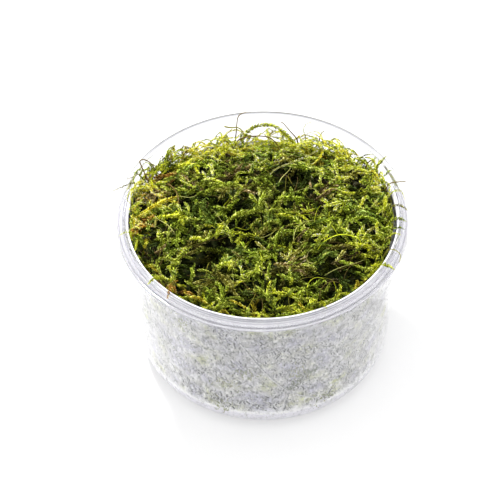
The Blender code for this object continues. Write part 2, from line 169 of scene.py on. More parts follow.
camera_data = bpy.data.cameras.new("camera")
camera_data.lens = LENS_MM
camera_data.sensor_width = 36.0
camera_data.shift_x, camera_data.shift_y = SHIFT
camera_data.clip_start = 0.05
camera = bpy.data.objects.new("camera", camera_data)
bpy.context.scene.collection.objects.link(camera)
bpy.context.scene.camera = camera
aim = Vector((0.0, 0.0, CUP_HEIGHT))
back = Vector((0.0, -math.cos(CAMERA_ELEVATION), math.sin(CAMERA_ELEVATION)))
turn = Matrix.Rotation(math.pi / 2 - CAMERA_ELEVATION, 4, "X") @ Matrix.Rotation(CAMERA_ROLL, 4, "Z")
camera.matrix_world = Matrix.Translation(aim + back * CAMERA_DISTANCE) @ turn
print("camera at", [round(v, 3) for v in camera.matrix_world.translation])

# %% [markdown]
# ## Helpers for finishes
#
# Every finish is one Principled shader. Its colour and its small bumps come from noise that is measured
# in the object's own millimetres, so the grain has the same size on every piece. A ramp turns a value
# into colours, and the sky uses one as well.

# %% Helpers for finishes
def new_finish(name, **values):
    """A Principled material; the values are set on the shader's own sockets."""
    material = bpy.data.materials.new(name)
    material.use_nodes = True
    shader = material.node_tree.nodes["Principled BSDF"]
    for socket, value in values.items():
        shader.inputs[socket.replace("_", " ")].default_value = value
    return material


def grain(material, size_mm, detail=3.0, stretch=(1.0, 1.0, 1.0), roughness=0.5):
    """Noise whose lumps are about size_mm across."""
    nodes, links = material.node_tree.nodes, material.node_tree.links
    coords = nodes.new("ShaderNodeTexCoord")
    mapping = nodes.new("ShaderNodeMapping")
    mapping.inputs["Scale"].default_value = [s / (size_mm * MM) for s in stretch]
    links.new(coords.outputs["Object"], mapping.inputs["Vector"])
    cloud = nodes.new("ShaderNodeTexNoise")
    cloud.inputs["Scale"].default_value = 1.0
    cloud.inputs["Detail"].default_value = detail
    cloud.inputs["Roughness"].default_value = roughness
    links.new(mapping.outputs["Vector"], cloud.inputs["Vector"])
    return cloud.outputs["Fac"]


def ramp(material, value, stops):
    """Colours, or greys, set along a value: stops are (position, colour). A world will do as material."""
    node = material.node_tree.nodes.new("ShaderNodeValToRGB")
    material.node_tree.links.new(value, node.inputs["Fac"])
    elements = node.color_ramp.elements
    while len(elements) < len(stops):
        elements.new(0.5)
    for element, (position, colour) in zip(elements, stops):
        element.position = position
        element.color = (*colour, 1.0) if len(colour) == 3 else (colour[0],) * 3 + (1.0,)
    return node.outputs["Color"]


def mix(material, factor, first, second, blend="MIX"):
    """Two colours mixed; factor, first and second are sockets or plain values."""
    node = material.node_tree.nodes.new("ShaderNodeMix")
    node.data_type = "RGBA"
    node.blend_type = blend
    for index, given in ((0, factor), (6, first), (7, second)):
        if isinstance(given, bpy.types.NodeSocket):
            material.node_tree.links.new(given, node.inputs[index])
        else:
            node.inputs[index].default_value = given
    return node.outputs[2]


def put(material, socket, value):
    shader = material.node_tree.nodes["Principled BSDF"]
    material.node_tree.links.new(value, shader.inputs[socket])


def raise_bumps(material, height, depth_mm, strength=1.0):
    node = material.node_tree.nodes.new("ShaderNodeBump")
    node.inputs["Strength"].default_value = strength
    node.inputs["Distance"].default_value = depth_mm * MM
    material.node_tree.links.new(height, node.inputs["Height"])
    put(material, "Normal", node.outputs["Normal"])


def place_share(material, axis, scale, offset=0.0):
    """One coordinate of the place on the object, times scale, plus offset."""
    nodes, links = material.node_tree.nodes, material.node_tree.links
    coords = nodes.new("ShaderNodeTexCoord")
    split = nodes.new("ShaderNodeSeparateXYZ")
    links.new(coords.outputs["Object"], split.inputs[0])
    scaled = nodes.new("ShaderNodeMath")
    scaled.operation = "MULTIPLY_ADD"
    scaled.inputs[1].default_value = scale
    scaled.inputs[2].default_value = offset
    links.new(split.outputs[axis], scaled.inputs[0])
    return scaled.outputs[0]


def copy_tint(material):
    """The tint that every point of a copy carries."""
    node = material.node_tree.nodes.new("ShaderNodeAttribute")
    node.attribute_name = "tint"
    return node.outputs["Color"]


# %% [markdown]
# ## Light and floor
#
# This is a high-key picture: a white table that is slightly overexposed, and light from all round. One
# small soft lamp hangs behind the cup, a little to the left, and puts the sparkle on the wet leaves. The
# table glows faintly itself, so the lamp's shadow on it stays white and only the shadow right under the
# cup shows, as in the photograph. The plain Standard view keeps the white white. The surroundings are
# brighter overhead than at the horizon, because clear plastic shows its edges only where it bends
# something darker into view.

# %% Light, surroundings and floor
SKY_STOPS = [(0.0, (1.50,)), (0.10, (1.60,)), (0.24, (1.75,)), (1.0, (1.85,))]
LAMP_PLACE = (-0.24, 0.42, 0.85)
LAMP_SIZE = 0.10
LAMP_POWER = 10.0
FLOOR_SIZE = 3.0
FLOOR_DROP = 0.05 * MM

scene = bpy.context.scene
scene.view_settings.view_transform = "Standard"
world = bpy.data.worlds.new("white studio")
scene.world = world
world.use_nodes = True
sky = world.node_tree
sky_direction = sky.nodes.new("ShaderNodeTexCoord")
sky_height = sky.nodes.new("ShaderNodeSeparateXYZ")
sky.links.new(sky_direction.outputs["Generated"], sky_height.inputs[0])
sky_light = ramp(world, sky_height.outputs["Z"], SKY_STOPS)
sky.links.new(sky_light, sky.nodes["Background"].inputs["Color"])

lamp_data = bpy.data.lights.new("soft lamp at the left", "AREA")
lamp_data.shape = "DISK"
lamp_data.size = LAMP_SIZE
lamp_data.energy = LAMP_POWER
lamp = bpy.data.objects.new("soft lamp at the left", lamp_data)
scene.collection.objects.link(lamp)
lamp.location = LAMP_PLACE
lamp.rotation_euler = (aim - Vector(LAMP_PLACE)).to_track_quat("-Z", "Y").to_euler()

floor_shape = bmesh.new()
bmesh.ops.create_grid(floor_shape, x_segments=1, y_segments=1, size=FLOOR_SIZE / 2)
bmesh.ops.translate(floor_shape, verts=floor_shape.verts, vec=(0.0, 0.0, cad_low.z - FLOOR_DROP))
floor_mesh = bpy.data.meshes.new("table")
floor_shape.to_mesh(floor_mesh)
floor_shape.free()
floor = bpy.data.objects.new("table", floor_mesh)
scene.collection.objects.link(floor)
print("surroundings:", SKY_STOPS[0][1][0], "at the horizon and", SKY_STOPS[-1][1][0], "overhead")

# %% [markdown]
# ## The table's finish
#
# The white table is the simplest finish, so it comes first and shows how the helpers fit together. It is
# matt, its grey wanders a little, and it has a faint glow of its own.

# %% The table's finish
TABLE_GLOW = 0.42

floor_finish = new_finish(
    "white table", Roughness=0.85, Specular_IOR_Level=0.0, Emission_Strength=TABLE_GLOW
)
table_grain = grain(floor_finish, 60.0)
put(floor_finish, "Base Color", ramp(floor_finish, table_grain, [(0.3, (0.40,)), (0.7, (0.41,))]))
floor_mesh.materials.append(floor_finish)
print("the table glows with strength", TABLE_GLOW)

# %% [markdown]
# ## Turned shapes
#
# The cup, the gel in it and the film on the wall are round. Their outline is drawn once, and spin turns
# it about the upright line, which is how a round moulding is described anyway. Points that then lie on
# each other are merged.

# %% Turned shapes
TURN_STEPS = 160
ARC_STEPS = 10
CORNER_STEPS = 4


def arc(centre, radius, start_degrees, end_degrees, steps):
    """Points (r, z) on a round stretch of a turned outline."""
    points = []
    for step in range(steps + 1):
        angle = math.radians(start_degrees + (end_degrees - start_degrees) * step / steps)
        points.append((centre[0] + radius * math.cos(angle), centre[1] + radius * math.sin(angle)))
    return points


def turned(outline, steps):
    """A bmesh turned about Z from an outline of (r, z) points."""
    shape = bmesh.new()
    corners = [shape.verts.new((radius, 0.0, height)) for radius, height in outline]
    edges = [shape.edges.new(pair) for pair in zip(corners, corners[1:])]
    bmesh.ops.spin(
        shape, geom=edges, cent=(0, 0, 0), axis=(0, 0, 1), angle=math.tau, steps=steps, use_merge=True
    )
    bmesh.ops.remove_doubles(shape, verts=shape.verts, dist=0.01 * MM)
    bmesh.ops.recalc_face_normals(shape, faces=shape.faces)
    return shape


def place_piece(mesh, finish):
    """The mesh as a finished piece that rides on the part's one body."""
    mesh.materials.append(finish)
    piece = bpy.data.objects.new(mesh.name, mesh)
    scene.collection.objects.link(piece)
    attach(piece, "root")
    return piece


def add_piece(name, shape, finish):
    """The bmesh as a finished, smooth piece."""
    mesh = bpy.data.meshes.new(name)
    shape.to_mesh(mesh)
    shape.free()
    mesh.shade_smooth()
    return place_piece(mesh, finish)


def rounded_corner(r, z, radius, start_degrees, end_degrees):
    return arc((r, z), radius, start_degrees, end_degrees, CORNER_STEPS)


print("round pieces have", TURN_STEPS, "sides")

# %% [markdown]
# ## The clear cup
#
# The cup is one thin moulding of clear plastic, and the round stretches of its outline are arcs: the foot,
# the bead on the lip's inner edge and the lip's own edges. Its shine and its see-through look come from
# plain transmission, with a faint unevenness. The lip's outer edge alone is painted grey towards the back:
# painted shade, for the darker side of the room that the real one gathers in its thick edge.

# %% The clear cup
foot_centre = (FOOT_RADIUS - FOOT_ROUNDING, FOOT_ROUNDING)
edge, lip_edge = EDGE_ROUNDING, LIP_ROUNDING
bead_outside = MOUTH_RADIUS + BEAD_WIDTH
cup_outline = [(0.0, WALL)]
cup_outline += arc(foot_centre, FOOT_ROUNDING - WALL, -90, 0, ARC_STEPS)
cup_outline += rounded_corner(MOUTH_RADIUS + edge, CUP_HEIGHT - edge, edge, 180, 90)
cup_outline += rounded_corner(bead_outside, CUP_HEIGHT - edge, edge, 90, 0)
cup_outline += rounded_corner(LIP_RADIUS - lip_edge, LIP_TOP - lip_edge, lip_edge, 90, 0)
cup_outline += rounded_corner(LIP_RADIUS - lip_edge, LIP_UNDERSIDE + lip_edge, lip_edge, 0, -90)
cup_outline += [(inner_wall(LIP_UNDERSIDE) + WALL, LIP_UNDERSIDE)]
cup_outline += arc(foot_centre, FOOT_ROUNDING, 0, -90, ARC_STEPS)
cup_outline += [(0.0, 0.0)]

CLEAR_TINT = (0.985, 0.985, 0.995)
LIP_EDGE_PAINTED_SHADE = (0.38, 0.38, 0.41)
LIP_SIDE_PAINTED_SHADE = (0.46, 0.46, 0.49)


def radius_share(material):
    """The distance from the cup's axis as a share of the lip's radius."""
    nodes, links = material.node_tree.nodes, material.node_tree.links
    coords = nodes.new("ShaderNodeTexCoord")
    flat = nodes.new("ShaderNodeVectorMath")
    flat.operation = "MULTIPLY"
    flat.inputs[1].default_value = (1.0 / LIP_RADIUS, 1.0 / LIP_RADIUS, 0.0)
    links.new(coords.outputs["Object"], flat.inputs[0])
    length = nodes.new("ShaderNodeVectorMath")
    length.operation = "LENGTH"
    links.new(flat.outputs["Vector"], length.inputs[0])
    return length.outputs["Value"]


def y_share(material):
    """0 at the front of the lip and 1 at its back."""
    return place_share(material, "Y", 0.5 / LIP_RADIUS, 0.5)


plastic = new_finish("clear plastic", Transmission_Weight=1.0, IOR=1.49)
# Painted shade on the lip's outer edge, growing towards the back.
painted_lip_shade = ramp(plastic, y_share(plastic), [
    (0.66, CLEAR_TINT), (0.84, LIP_SIDE_PAINTED_SHADE), (0.99, LIP_EDGE_PAINTED_SHADE),
])
at_edge = ramp(plastic, radius_share(plastic), [(0.974, (0.0,)), (0.979, (1.0,))])
put(plastic, "Base Color", mix(plastic, at_edge, (*CLEAR_TINT, 1.0), painted_lip_shade))
put(plastic, "Roughness", ramp(plastic, grain(plastic, 5.0), [(0.35, (0.02,)), (0.7, (0.07,))]))
raise_bumps(plastic, grain(plastic, 9.0, detail=1.0), 0.05, 0.25)

clear_cup = add_piece("clear_cup", turned(cup_outline, TURN_STEPS), plastic)
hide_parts("cup")
print("clear cup:", len(clear_cup.data.polygons), "faces")

# %% [markdown]
# ## The cloudy gel
#
# The gel is a pale, milky filling. Against the wall it is full of little ridges where it shrank and was
# pressed back, so its skin is a finely divided turned shape whose points are pushed in and out. In the
# rounded foot it lies smooth.

# %% The cloudy gel
GEL_STEPS = 400
GEL_WALL_ROWS = 84
GEL_CONTACT = 0.06 * MM
GEL_FOOT_STEPS = 14


def gel_skin():
    """The gel's body: a turned shape, cut off at its sloping top."""
    low_radius = inner_wall(FOOT_ROUNDING) + GEL_CONTACT
    brim = LIP_UNDERSIDE
    wall_rise = brim - FOOT_ROUNDING
    outline = []
    for row in range(GEL_WALL_ROWS + 1):
        height = brim - wall_rise * row / GEL_WALL_ROWS
        outline.append((inner_wall(height) + GEL_CONTACT, height))
    outline += arc(foot_centre, low_radius - foot_centre[0], 0, -90, GEL_FOOT_STEPS)[1:]
    outline.append((0.0, FOOT_ROUNDING - (low_radius - foot_centre[0])))
    outline.insert(0, (0.0, brim))
    shape = turned(outline, GEL_STEPS)
    everything = shape.verts[:] + shape.edges[:] + shape.faces[:]
    cut = bmesh.ops.bisect_plane(
        shape, geom=everything, plane_co=(0.0, 0.0, GEL_LEVEL),
        plane_no=(0.0, math.sin(GEL_SLOPE), math.cos(GEL_SLOPE)), clear_outer=True,
    )
    rim = [item for item in cut["geom_cut"] if isinstance(item, bmesh.types.BMEdge)]
    bmesh.ops.holes_fill(shape, edges=rim, sides=0)
    bmesh.ops.recalc_face_normals(shape, faces=shape.faces)
    return shape


GEL_RELIEF = 0.30 * MM
SMOOTH_FOOT = 4.4 * MM
SMOOTH_BRIM = 0.4 * MM
SKIN_INNER_RADIUS = 0.7 * FOOT_RADIUS
RIDGES_PER_MM = Vector((0.75, 0.75, 0.5))
RIDGE_GAIN = 3.4
FINE_LUMPS_PER_MM = 1.9
FINE_LUMP_SHARE = 0.35


def roughen_gel(shape):
    """Pushes the skin in where noise is low, and leaves it on the solid's surface where it is high."""
    for corner in shape.verts:
        radius = math.hypot(corner.co.x, corner.co.y)
        if radius < SKIN_INNER_RADIUS or corner.co.z > gel_top(corner.co.y) - SMOOTH_BRIM:
            continue
        place = corner.co / MM
        ridges = abs(noise.noise(place * RIDGES_PER_MM)) * RIDGE_GAIN
        fine = noise.noise(place * FINE_LUMPS_PER_MM)
        above_foot = min(1.0, max(0.0, (corner.co.z - SMOOTH_FOOT) / SMOOTH_FOOT))
        push = GEL_RELIEF * above_foot * min(0.0, min(1.0, ridges) - 1.0 + FINE_LUMP_SHARE * fine)
        corner.co.x += corner.co.x / radius * push
        corner.co.y += corner.co.y / radius * push


gel_shape = gel_skin()
roughen_gel(gel_shape)
bmesh.ops.triangulate(gel_shape, faces=[f for f in gel_shape.faces if len(f.verts) > 4])
print("gel's skin:", len(gel_shape.verts), "points")

# %% [markdown]
# ## The gel's finish
#
# Its colour drifts from lilac over grey to olive in clouds a few millimetres wide, with streaks across
# them. Broken thin lines stand for the folds: the light ones are painted highlight, the dark ones painted
# shade. The sides are lightened with painted light, for the light that falls in from the sides. The foot
# has its own paler band with a few specks and a white line along its top: painted light, for the bright
# table that shines through the clear foot. Everything hangs on the object's millimetres, not on a picture.

# %% The gel's finish
def height_share(material):
    """The height above the table as a share of the cup's height."""
    return place_share(material, "Z", 1.0 / CUP_HEIGHT)


def worm_lines(material, size_mm, width, patch_mm):
    """Thin broken curved lines: where one noise passes its middle value, and another noise is high."""
    lines = ramp(material, grain(material, size_mm, 2.0, (1.0, 1.0, 0.7)), [
        (0.5 - width, (0.0,)), (0.5, (1.0,)), (0.5 + width, (0.0,)),
    ])
    patches = ramp(material, grain(material, patch_mm, 1.0), [(0.46, (0.0,)), (0.52, (1.0,))])
    return mix(material, 1.0, lines, patches, "MULTIPLY")


CLOUD_TINTS = [
    (0.34, (0.48, 0.475, 0.54)), (0.45, (0.59, 0.585, 0.60)), (0.55, (0.63, 0.63, 0.59)),
    (0.63, (0.58, 0.59, 0.47)), (0.72, (0.47, 0.49, 0.27)),
]
STREAK_TINTS = [
    (0.28, (0.46, 0.46, 0.43)), (0.41, (0.94, 0.94, 0.94)),
    (0.53, (1.05, 1.05, 1.05)), (0.68, (1.50, 1.50, 1.50)),
]
# The folds' painted highlight and painted shade.
FOLD_PAINTED_HIGHLIGHT = (0.95, 0.95, 0.95, 1.0)
FOLD_PAINTED_SHADE = (0.14, 0.15, 0.13, 1.0)
# Painted light on the gel's sides.
SIDE_PAINTED_LIGHT = [(0.03, (1.0,)), (0.17, (1.11,)), (0.34, (1.27,))]
# Painted light at the foot: a pale band with a white line on top, for the bright table seen through the clear
# foot.
FOOT_LIGHT_MASK = [(0.146, (1.0,)), (0.168, (0.45,)), (0.200, (0.0,))]
FOOT_PAINTED_LIGHT = [(0.060, (0.86, 0.85, 0.90)), (0.132, (0.96, 0.95, 1.0)), (0.146, (1.15, 1.15, 1.15))]
FOOT_SPECKS = [(0.36, (0.74,)), (0.44, (0.98,)), (0.62, (1.0,))]

gel_finish = new_finish("cloudy gel", Roughness=0.30, Specular_IOR_Level=0.06)
cloud = ramp(gel_finish, grain(gel_finish, 6.5, 2.0), CLOUD_TINTS)
streaks = ramp(gel_finish, grain(gel_finish, 1.0, 2.5, (1.0, 1.0, 0.6)), STREAK_TINTS)
stained = mix(gel_finish, 1.0, cloud, streaks, "MULTIPLY")
# Painted highlights of the folds, then their painted shade.
fold_highlighted = mix(gel_finish, worm_lines(gel_finish, 2.3, 0.035, 1.7), stained, FOLD_PAINTED_HIGHLIGHT)
shadowed = mix(gel_finish, worm_lines(gel_finish, 2.0, 0.035, 2.3), fold_highlighted, FOLD_PAINTED_SHADE)
# Painted light: the gel is lightened towards the sides, for the light that falls in there.
painted_side_light = ramp(gel_finish, y_share(gel_finish), SIDE_PAINTED_LIGHT)
side_lit = mix(gel_finish, 1.0, shadowed, painted_side_light, "MULTIPLY")
# Painted light at the foot, with a few specks in it.
foot_light_band = ramp(gel_finish, height_share(gel_finish), FOOT_LIGHT_MASK)
painted_foot_light = ramp(gel_finish, height_share(gel_finish), FOOT_PAINTED_LIGHT)
foot_specks = ramp(gel_finish, grain(gel_finish, 0.9, 3.0), FOOT_SPECKS)
foot_light_tint = mix(gel_finish, 1.0, painted_foot_light, foot_specks, "MULTIPLY")
put(gel_finish, "Base Color", mix(gel_finish, foot_light_band, side_lit, foot_light_tint))
raise_bumps(gel_finish, grain(gel_finish, 1.3, 3.0, (1.0, 1.0, 0.6)), 0.7, 1.0)

cloudy_gel = add_piece("cloudy_gel", gel_shape, gel_finish)
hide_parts("nutrient_gel")
print("cloudy gel:", len(cloudy_gel.data.polygons), "faces")

# %% [markdown]
# ## The film on the wall
#
# At the front and the sides a thin film of gel has crept up the wall, behind the lip. That is why the lip
# looks pale there, and not green. The film is a thin closed ring whose upper edge drops at the back. It
# reaches a hair's breadth into the plastic, so no layer of air shines between the two. Its greys are painted
# light and shade: they change with height, as the bands of light and shade that run along the real lip do,
# and they are paler at the sides.

# %% The film on the wall
# Painted light and shade along the lip by height: first at the front, then at the sides.
FRONT_LIGHT_BANDS = [
    (0.924, (0.78, 0.78, 0.79)),
    (0.960, (0.74, 0.74, 0.75)),
    (0.967, (0.92, 0.92, 0.93)),
    (0.972, (0.66, 0.66, 0.68)),
    (0.976, (0.46, 0.46, 0.48)),
    (0.982, (0.44, 0.44, 0.46)),
    (0.990, (0.46, 0.46, 0.48)),
    (0.998, (0.62, 0.62, 0.63)),
]
SIDE_LIGHT_BANDS = [
    (0.956, (0.86, 0.855, 0.89)),
    (0.974, (0.93, 0.93, 0.94)),
    (0.986, (0.66, 0.65, 0.71)),
    (0.996, (0.76, 0.76, 0.78)),
]

film_finish = new_finish("pale gel film", Roughness=0.5, Specular_IOR_Level=0.3)
film_grain = grain(film_finish, 2.5)
film_cloud = ramp(film_finish, film_grain, [(0.35, (0.90, 0.89, 0.94)), (0.65, (1.0, 1.0, 1.02))])
film_front = ramp(film_finish, height_share(film_finish), FRONT_LIGHT_BANDS)
film_sides = ramp(film_finish, height_share(film_finish), SIDE_LIGHT_BANDS)
sideness = ramp(film_finish, y_share(film_finish), [(0.12, (0.0,)), (0.38, (1.0,))])
film_shade = mix(film_finish, sideness, film_front, film_sides)
put(film_finish, "Base Color", mix(film_finish, 1.0, film_shade, film_cloud, "MULTIPLY"))
print("the film has", len(FRONT_LIGHT_BANDS), "bands at the front and", len(SIDE_LIGHT_BANDS), "at the sides")

# %% [markdown]
# ## The film's two rings
#
# The lower ring has the gel's finish, and the upper one behind the lip has the banded one. Each is a
# small rectangle turned about the axis. Its points are then slid up or down along the wall, so that both
# edges follow their heights all round the cup.

# %% The film's two rings
FILM_THICKNESS = 0.30 * MM
LIP_FILM_THICKNESS = 0.42 * MM
FILM_TOP = CUP_HEIGHT - 0.03 * MM
LIP_SHADOW = 45.4 * MM
FILM_STEPS = 360
FILM_SIDE = 0.35
FILM_FADE = 4.0
THINNEST_FILM = 0.05


def film_ring(lower_edge, upper_edge, thickness):
    """A thin closed ring behind the wall; each edge's height is given for a place (x, y)."""
    middle = 0.5 * (GEL_LEVEL + FILM_TOP)
    section = [(GEL_LEVEL, 0.0), (FILM_TOP, 0.0), (FILM_TOP, thickness), (GEL_LEVEL, thickness)]
    ring = [(inner_wall(height) + GEL_CONTACT - depth, height) for height, depth in section]
    shape = turned(ring + ring[:1], FILM_STEPS)
    for corner in shape.verts:
        x, y, z = corner.co
        height = upper_edge(x, y) if z > middle else lower_edge(x, y)
        slide = 1.0 + (inner_wall(height) - inner_wall(z)) / math.hypot(x, y)
        corner.co = (x * slide, y * slide, height)
    bmesh.ops.recalc_face_normals(shape, faces=shape.faces)
    return shape


def film_share(x, y):
    """1 round the front and the sides of the cup, and 0 round its back."""
    return min(1.0, max(0.0, 0.5 - FILM_FADE * (y / math.hypot(x, y) - FILM_SIDE)))


def film_low(x, y):
    return gel_top(y) - SMOOTH_BRIM


def film_middle(x, y):
    low = film_low(x, y)
    return low + (LIP_SHADOW - low) * max(THINNEST_FILM, film_share(x, y))


def film_high(x, y):
    middle = film_middle(x, y)
    return middle + (FILM_TOP - middle) * max(THINNEST_FILM, film_share(x, y))


gel_film = add_piece("gel_film", film_ring(film_low, film_middle, FILM_THICKNESS), gel_finish)
lip_film = add_piece("lip_film", film_ring(film_middle, film_high, LIP_FILM_THICKNESS), film_finish)
print("film rings:", len(gel_film.data.polygons) + len(lip_film.data.polygons), "faces")

# %% [markdown]
# ## Bending small parts along a route
#
# A shoot, a stem and a strand are all the same job: a straight little model is built once along X, and
# copies of it are carried along curved routes. A frame that turns as little as it can travels along the
# route, and each point of the model keeps its place in that frame.

# %% Templates bent along routes
Template = namedtuple("Template", "length points triangles shade along across")


def template_of(shape, length, shade_of):
    """The bmesh's points and triangles as arrays, with a shade for each point."""
    bmesh.ops.triangulate(shape, faces=shape.faces)
    shape.verts.index_update()
    points = np.array([corner.co[:] for corner in shape.verts])
    triangles = np.array([[corner.index for corner in face.verts] for face in shape.faces])
    shade = np.array([shade_of(corner) for corner in shape.verts])
    shape.free()
    along = np.clip(points[:, 0] / length, 0.0, 1.0)
    half_width = np.abs(points[:, 1]).max() + 1e-9
    across = 0.5 + 0.5 * points[:, 1] / half_width
    return Template(length, points, triangles, shade, along, across)


def frames_along(route):
    """Distances along the route, and a side and an up direction at each of its points."""
    steps = np.diff(route, axis=0)
    reach = np.concatenate([[0.0], np.cumsum(np.linalg.norm(steps, axis=1))])
    forward = np.gradient(route, reach, axis=0)
    forward /= np.linalg.norm(forward, axis=1)[:, None]
    side = np.empty_like(route)
    last = np.cross((0.0, 0.0, 1.0), forward[0])
    if np.linalg.norm(last) < 0.15:
        last = np.cross((1.0, 0.0, 0.0), forward[0])
    for index, heading in enumerate(forward):
        last = last - heading * last.dot(heading)
        last = last / np.linalg.norm(last)
        side[index] = last
    return reach, side, np.cross(forward, side)


def bent(template, route, width=1.0, roll=0.0):
    """The template's points carried along a route: x along it, y to its side and z up."""
    reach, side, up = frames_along(route)
    at = template.points[:, 0] / template.length * reach[-1]
    stations = np.hstack([route, side, up])
    here = np.stack([np.interp(at, reach, column) for column in stations.T], axis=1)
    past = (at - np.clip(at, 0.0, reach[-1]))[:, None] * (route[-1] - route[-2]) / (reach[-1] - reach[-2])
    y = template.points[:, 1:2] * width
    z = template.points[:, 2:3] * width
    across = y * math.cos(roll) - z * math.sin(roll)
    rise = y * math.sin(roll) + z * math.cos(roll)
    return here[:, :3] + past + here[:, 3:6] * across + here[:, 6:9] * rise


def smooth_route(stations, steps=8):
    """A fine line on a smooth curve through the stations, in metres."""
    knots = [np.array(station) * MM for station in stations]
    knots = [knots[0] * 2 - knots[1]] + knots + [knots[-1] * 2 - knots[-2]]
    line = []
    for before, start, end, after in zip(knots, knots[1:], knots[2:], knots[3:]):
        for step in range(steps):
            t = step / steps
            bend = before * (-t + 2 * t ** 2 - t ** 3) + start * (2 - 5 * t ** 2 + 3 * t ** 3)
            line.append((bend + end * (t + 4 * t ** 2 - 3 * t ** 3) + after * (t ** 3 - t ** 2)) / 2)
    line.append(knots[-2])
    return np.array(line)


def route_length_mm(line):
    return float(np.linalg.norm(np.diff(line, axis=0), axis=1).sum()) / MM


straight = smooth_route([(0.0, 0.0, 0.0), (5.0, 0.0, 0.0), (10.0, 0.0, 0.0)])
print("a straight test route is", round(route_length_mm(straight), 2), "mm long")

# %% [markdown]
# ## Piles of copies
#
# Thousands of separate objects would be slow, and the export drops instances, so the copies are joined in
# one mesh from arrays. Each copy gets a tint for its foot and one for its tip, and its own strip of the
# texture map.

# %% Piles of copies
TIP_TINT_POWER = 2.5
PALEST_SHADE = 3.0
BLUE_POWER = 1.7
COPIES_PER_COLUMN = 5.0
STRIP_MARGIN = 0.04


class Pile:
    """Bent copies of templates, joined as one mesh with a tint for each point."""

    def __init__(self):
        self.points, self.triangles, self.tints, self.places = [], [], [], []
        self.count = 0

    def add(self, template, points, tint, tip_tint=None, light=1.0):
        tip_tint = tint if tip_tint is None else tip_tint
        towards_tip = (template.along ** TIP_TINT_POWER)[:, None]
        tints = np.array(tint) * (1.0 - towards_tip) + np.array(tip_tint) * towards_tip
        self.points.append(points)
        self.triangles.append(template.triangles + self.count)
        # Each point's painted shade scales its tint, and blue grows faster than red and green, so the painted
        # highlights turn pale, as wet gloss does.
        blue = np.minimum(template.shade, PALEST_SHADE) ** BLUE_POWER
        shade_and_pale_highlight = np.stack([template.shade, template.shade, blue], axis=1)
        self.tints.append(tints * shade_and_pale_highlight * light)
        self.places.append(np.stack([template.along, template.across], axis=1))
        self.count += len(points)

    def strips(self):
        """Each copy's own strip of the texture map, laid out in columns."""
        columns = max(1, round(math.sqrt(len(self.places) / COPIES_PER_COLUMN)))
        rows = math.ceil(len(self.places) / columns)
        placed = []
        for number, place in enumerate(self.places):
            corner = np.array([number % columns / columns, number // columns / rows])
            size = np.array([1.0 / columns, 1.0 / rows])
            placed.append(corner + size * (STRIP_MARGIN + (1.0 - 2.0 * STRIP_MARGIN) * place))
        return np.concatenate(placed)

    def piece(self, name, finish, slot):
        points = np.concatenate(self.points)
        triangles = np.concatenate(self.triangles)
        tints = np.concatenate(self.tints)
        mesh = bpy.data.meshes.new(name)
        mesh.vertices.add(len(points))
        mesh.vertices.foreach_set("co", points.astype(np.float32).ravel())
        mesh.loops.add(triangles.size)
        mesh.loops.foreach_set("vertex_index", triangles.astype(np.int32).ravel())
        mesh.polygons.add(len(triangles))
        mesh.polygons.foreach_set("loop_start", np.arange(0, triangles.size, 3, dtype=np.int32))
        mesh.update(calc_edges=True)
        colours = np.ones((len(points), 4), np.float32)
        colours[:, :3] = np.clip(tints, 0.0, 1.0)
        mesh.attributes.new("tint", "FLOAT_COLOR", "POINT").data.foreach_set("color", colours.ravel())
        strips = self.strips()[triangles.ravel()]
        mesh.uv_layers.new(name="OFBake").uv.foreach_set("vector", strips.astype(np.float32).ravel())
        mesh.validate()
        piece = place_piece(mesh, finish)
        print(f"{name}: {len(self.points)} copies, {len(triangles)} triangles")
        return piece


print("a copy's strip keeps a margin of", STRIP_MARGIN, "of its width")

# %% [markdown]
# ## One leaf and one stem
#
# A moss leaf is a pointed, boat-shaped blade about a millimetre long. A cone of three sides is already
# that shape once it is laid down and its two side corners are spread. With only four faces, nearly two
# hundred thousand leaves stay light. On so flat a blade the recalculated normals can point inwards, and
# its volume tells. A stem is a small polygon that is extruded step by step and tapers.

# %% One leaf and one stem
LEAF_LENGTH = 1.15 * MM
LEAF_WIDTH = 0.38 * MM
LEAF_WIDEST_AT = 0.42
LEAF_KEEL = 0.07
LEAF_TIP_RISE = 0.08


def leaf_blade():
    """A closed, pointed blade from the origin along X: a three-sided cone laid down on its keel."""
    shape = bmesh.new()
    bmesh.ops.create_cone(shape, cap_ends=True, segments=3, radius1=0.5, radius2=0.0, depth=1.0)
    tip = max(shape.verts, key=lambda corner: corner.co.z)
    base = [corner for corner in shape.verts if corner != tip]
    right, foot, left = sorted(base, key=lambda corner: corner.co.x)
    half_width = 0.5 * LEAF_WIDTH / LEAF_LENGTH
    right.co = (LEAF_WIDEST_AT, -half_width, LEAF_KEEL)
    foot.co = (0.0, 0.0, 0.0)
    left.co = (LEAF_WIDEST_AT, half_width, LEAF_KEEL)
    tip.co = (1.0, 0.0, LEAF_TIP_RISE)
    bmesh.ops.recalc_face_normals(shape, faces=shape.faces)
    if shape.calc_volume(signed=True) < 0.0:
        bmesh.ops.reverse_faces(shape, faces=shape.faces)
    return shape


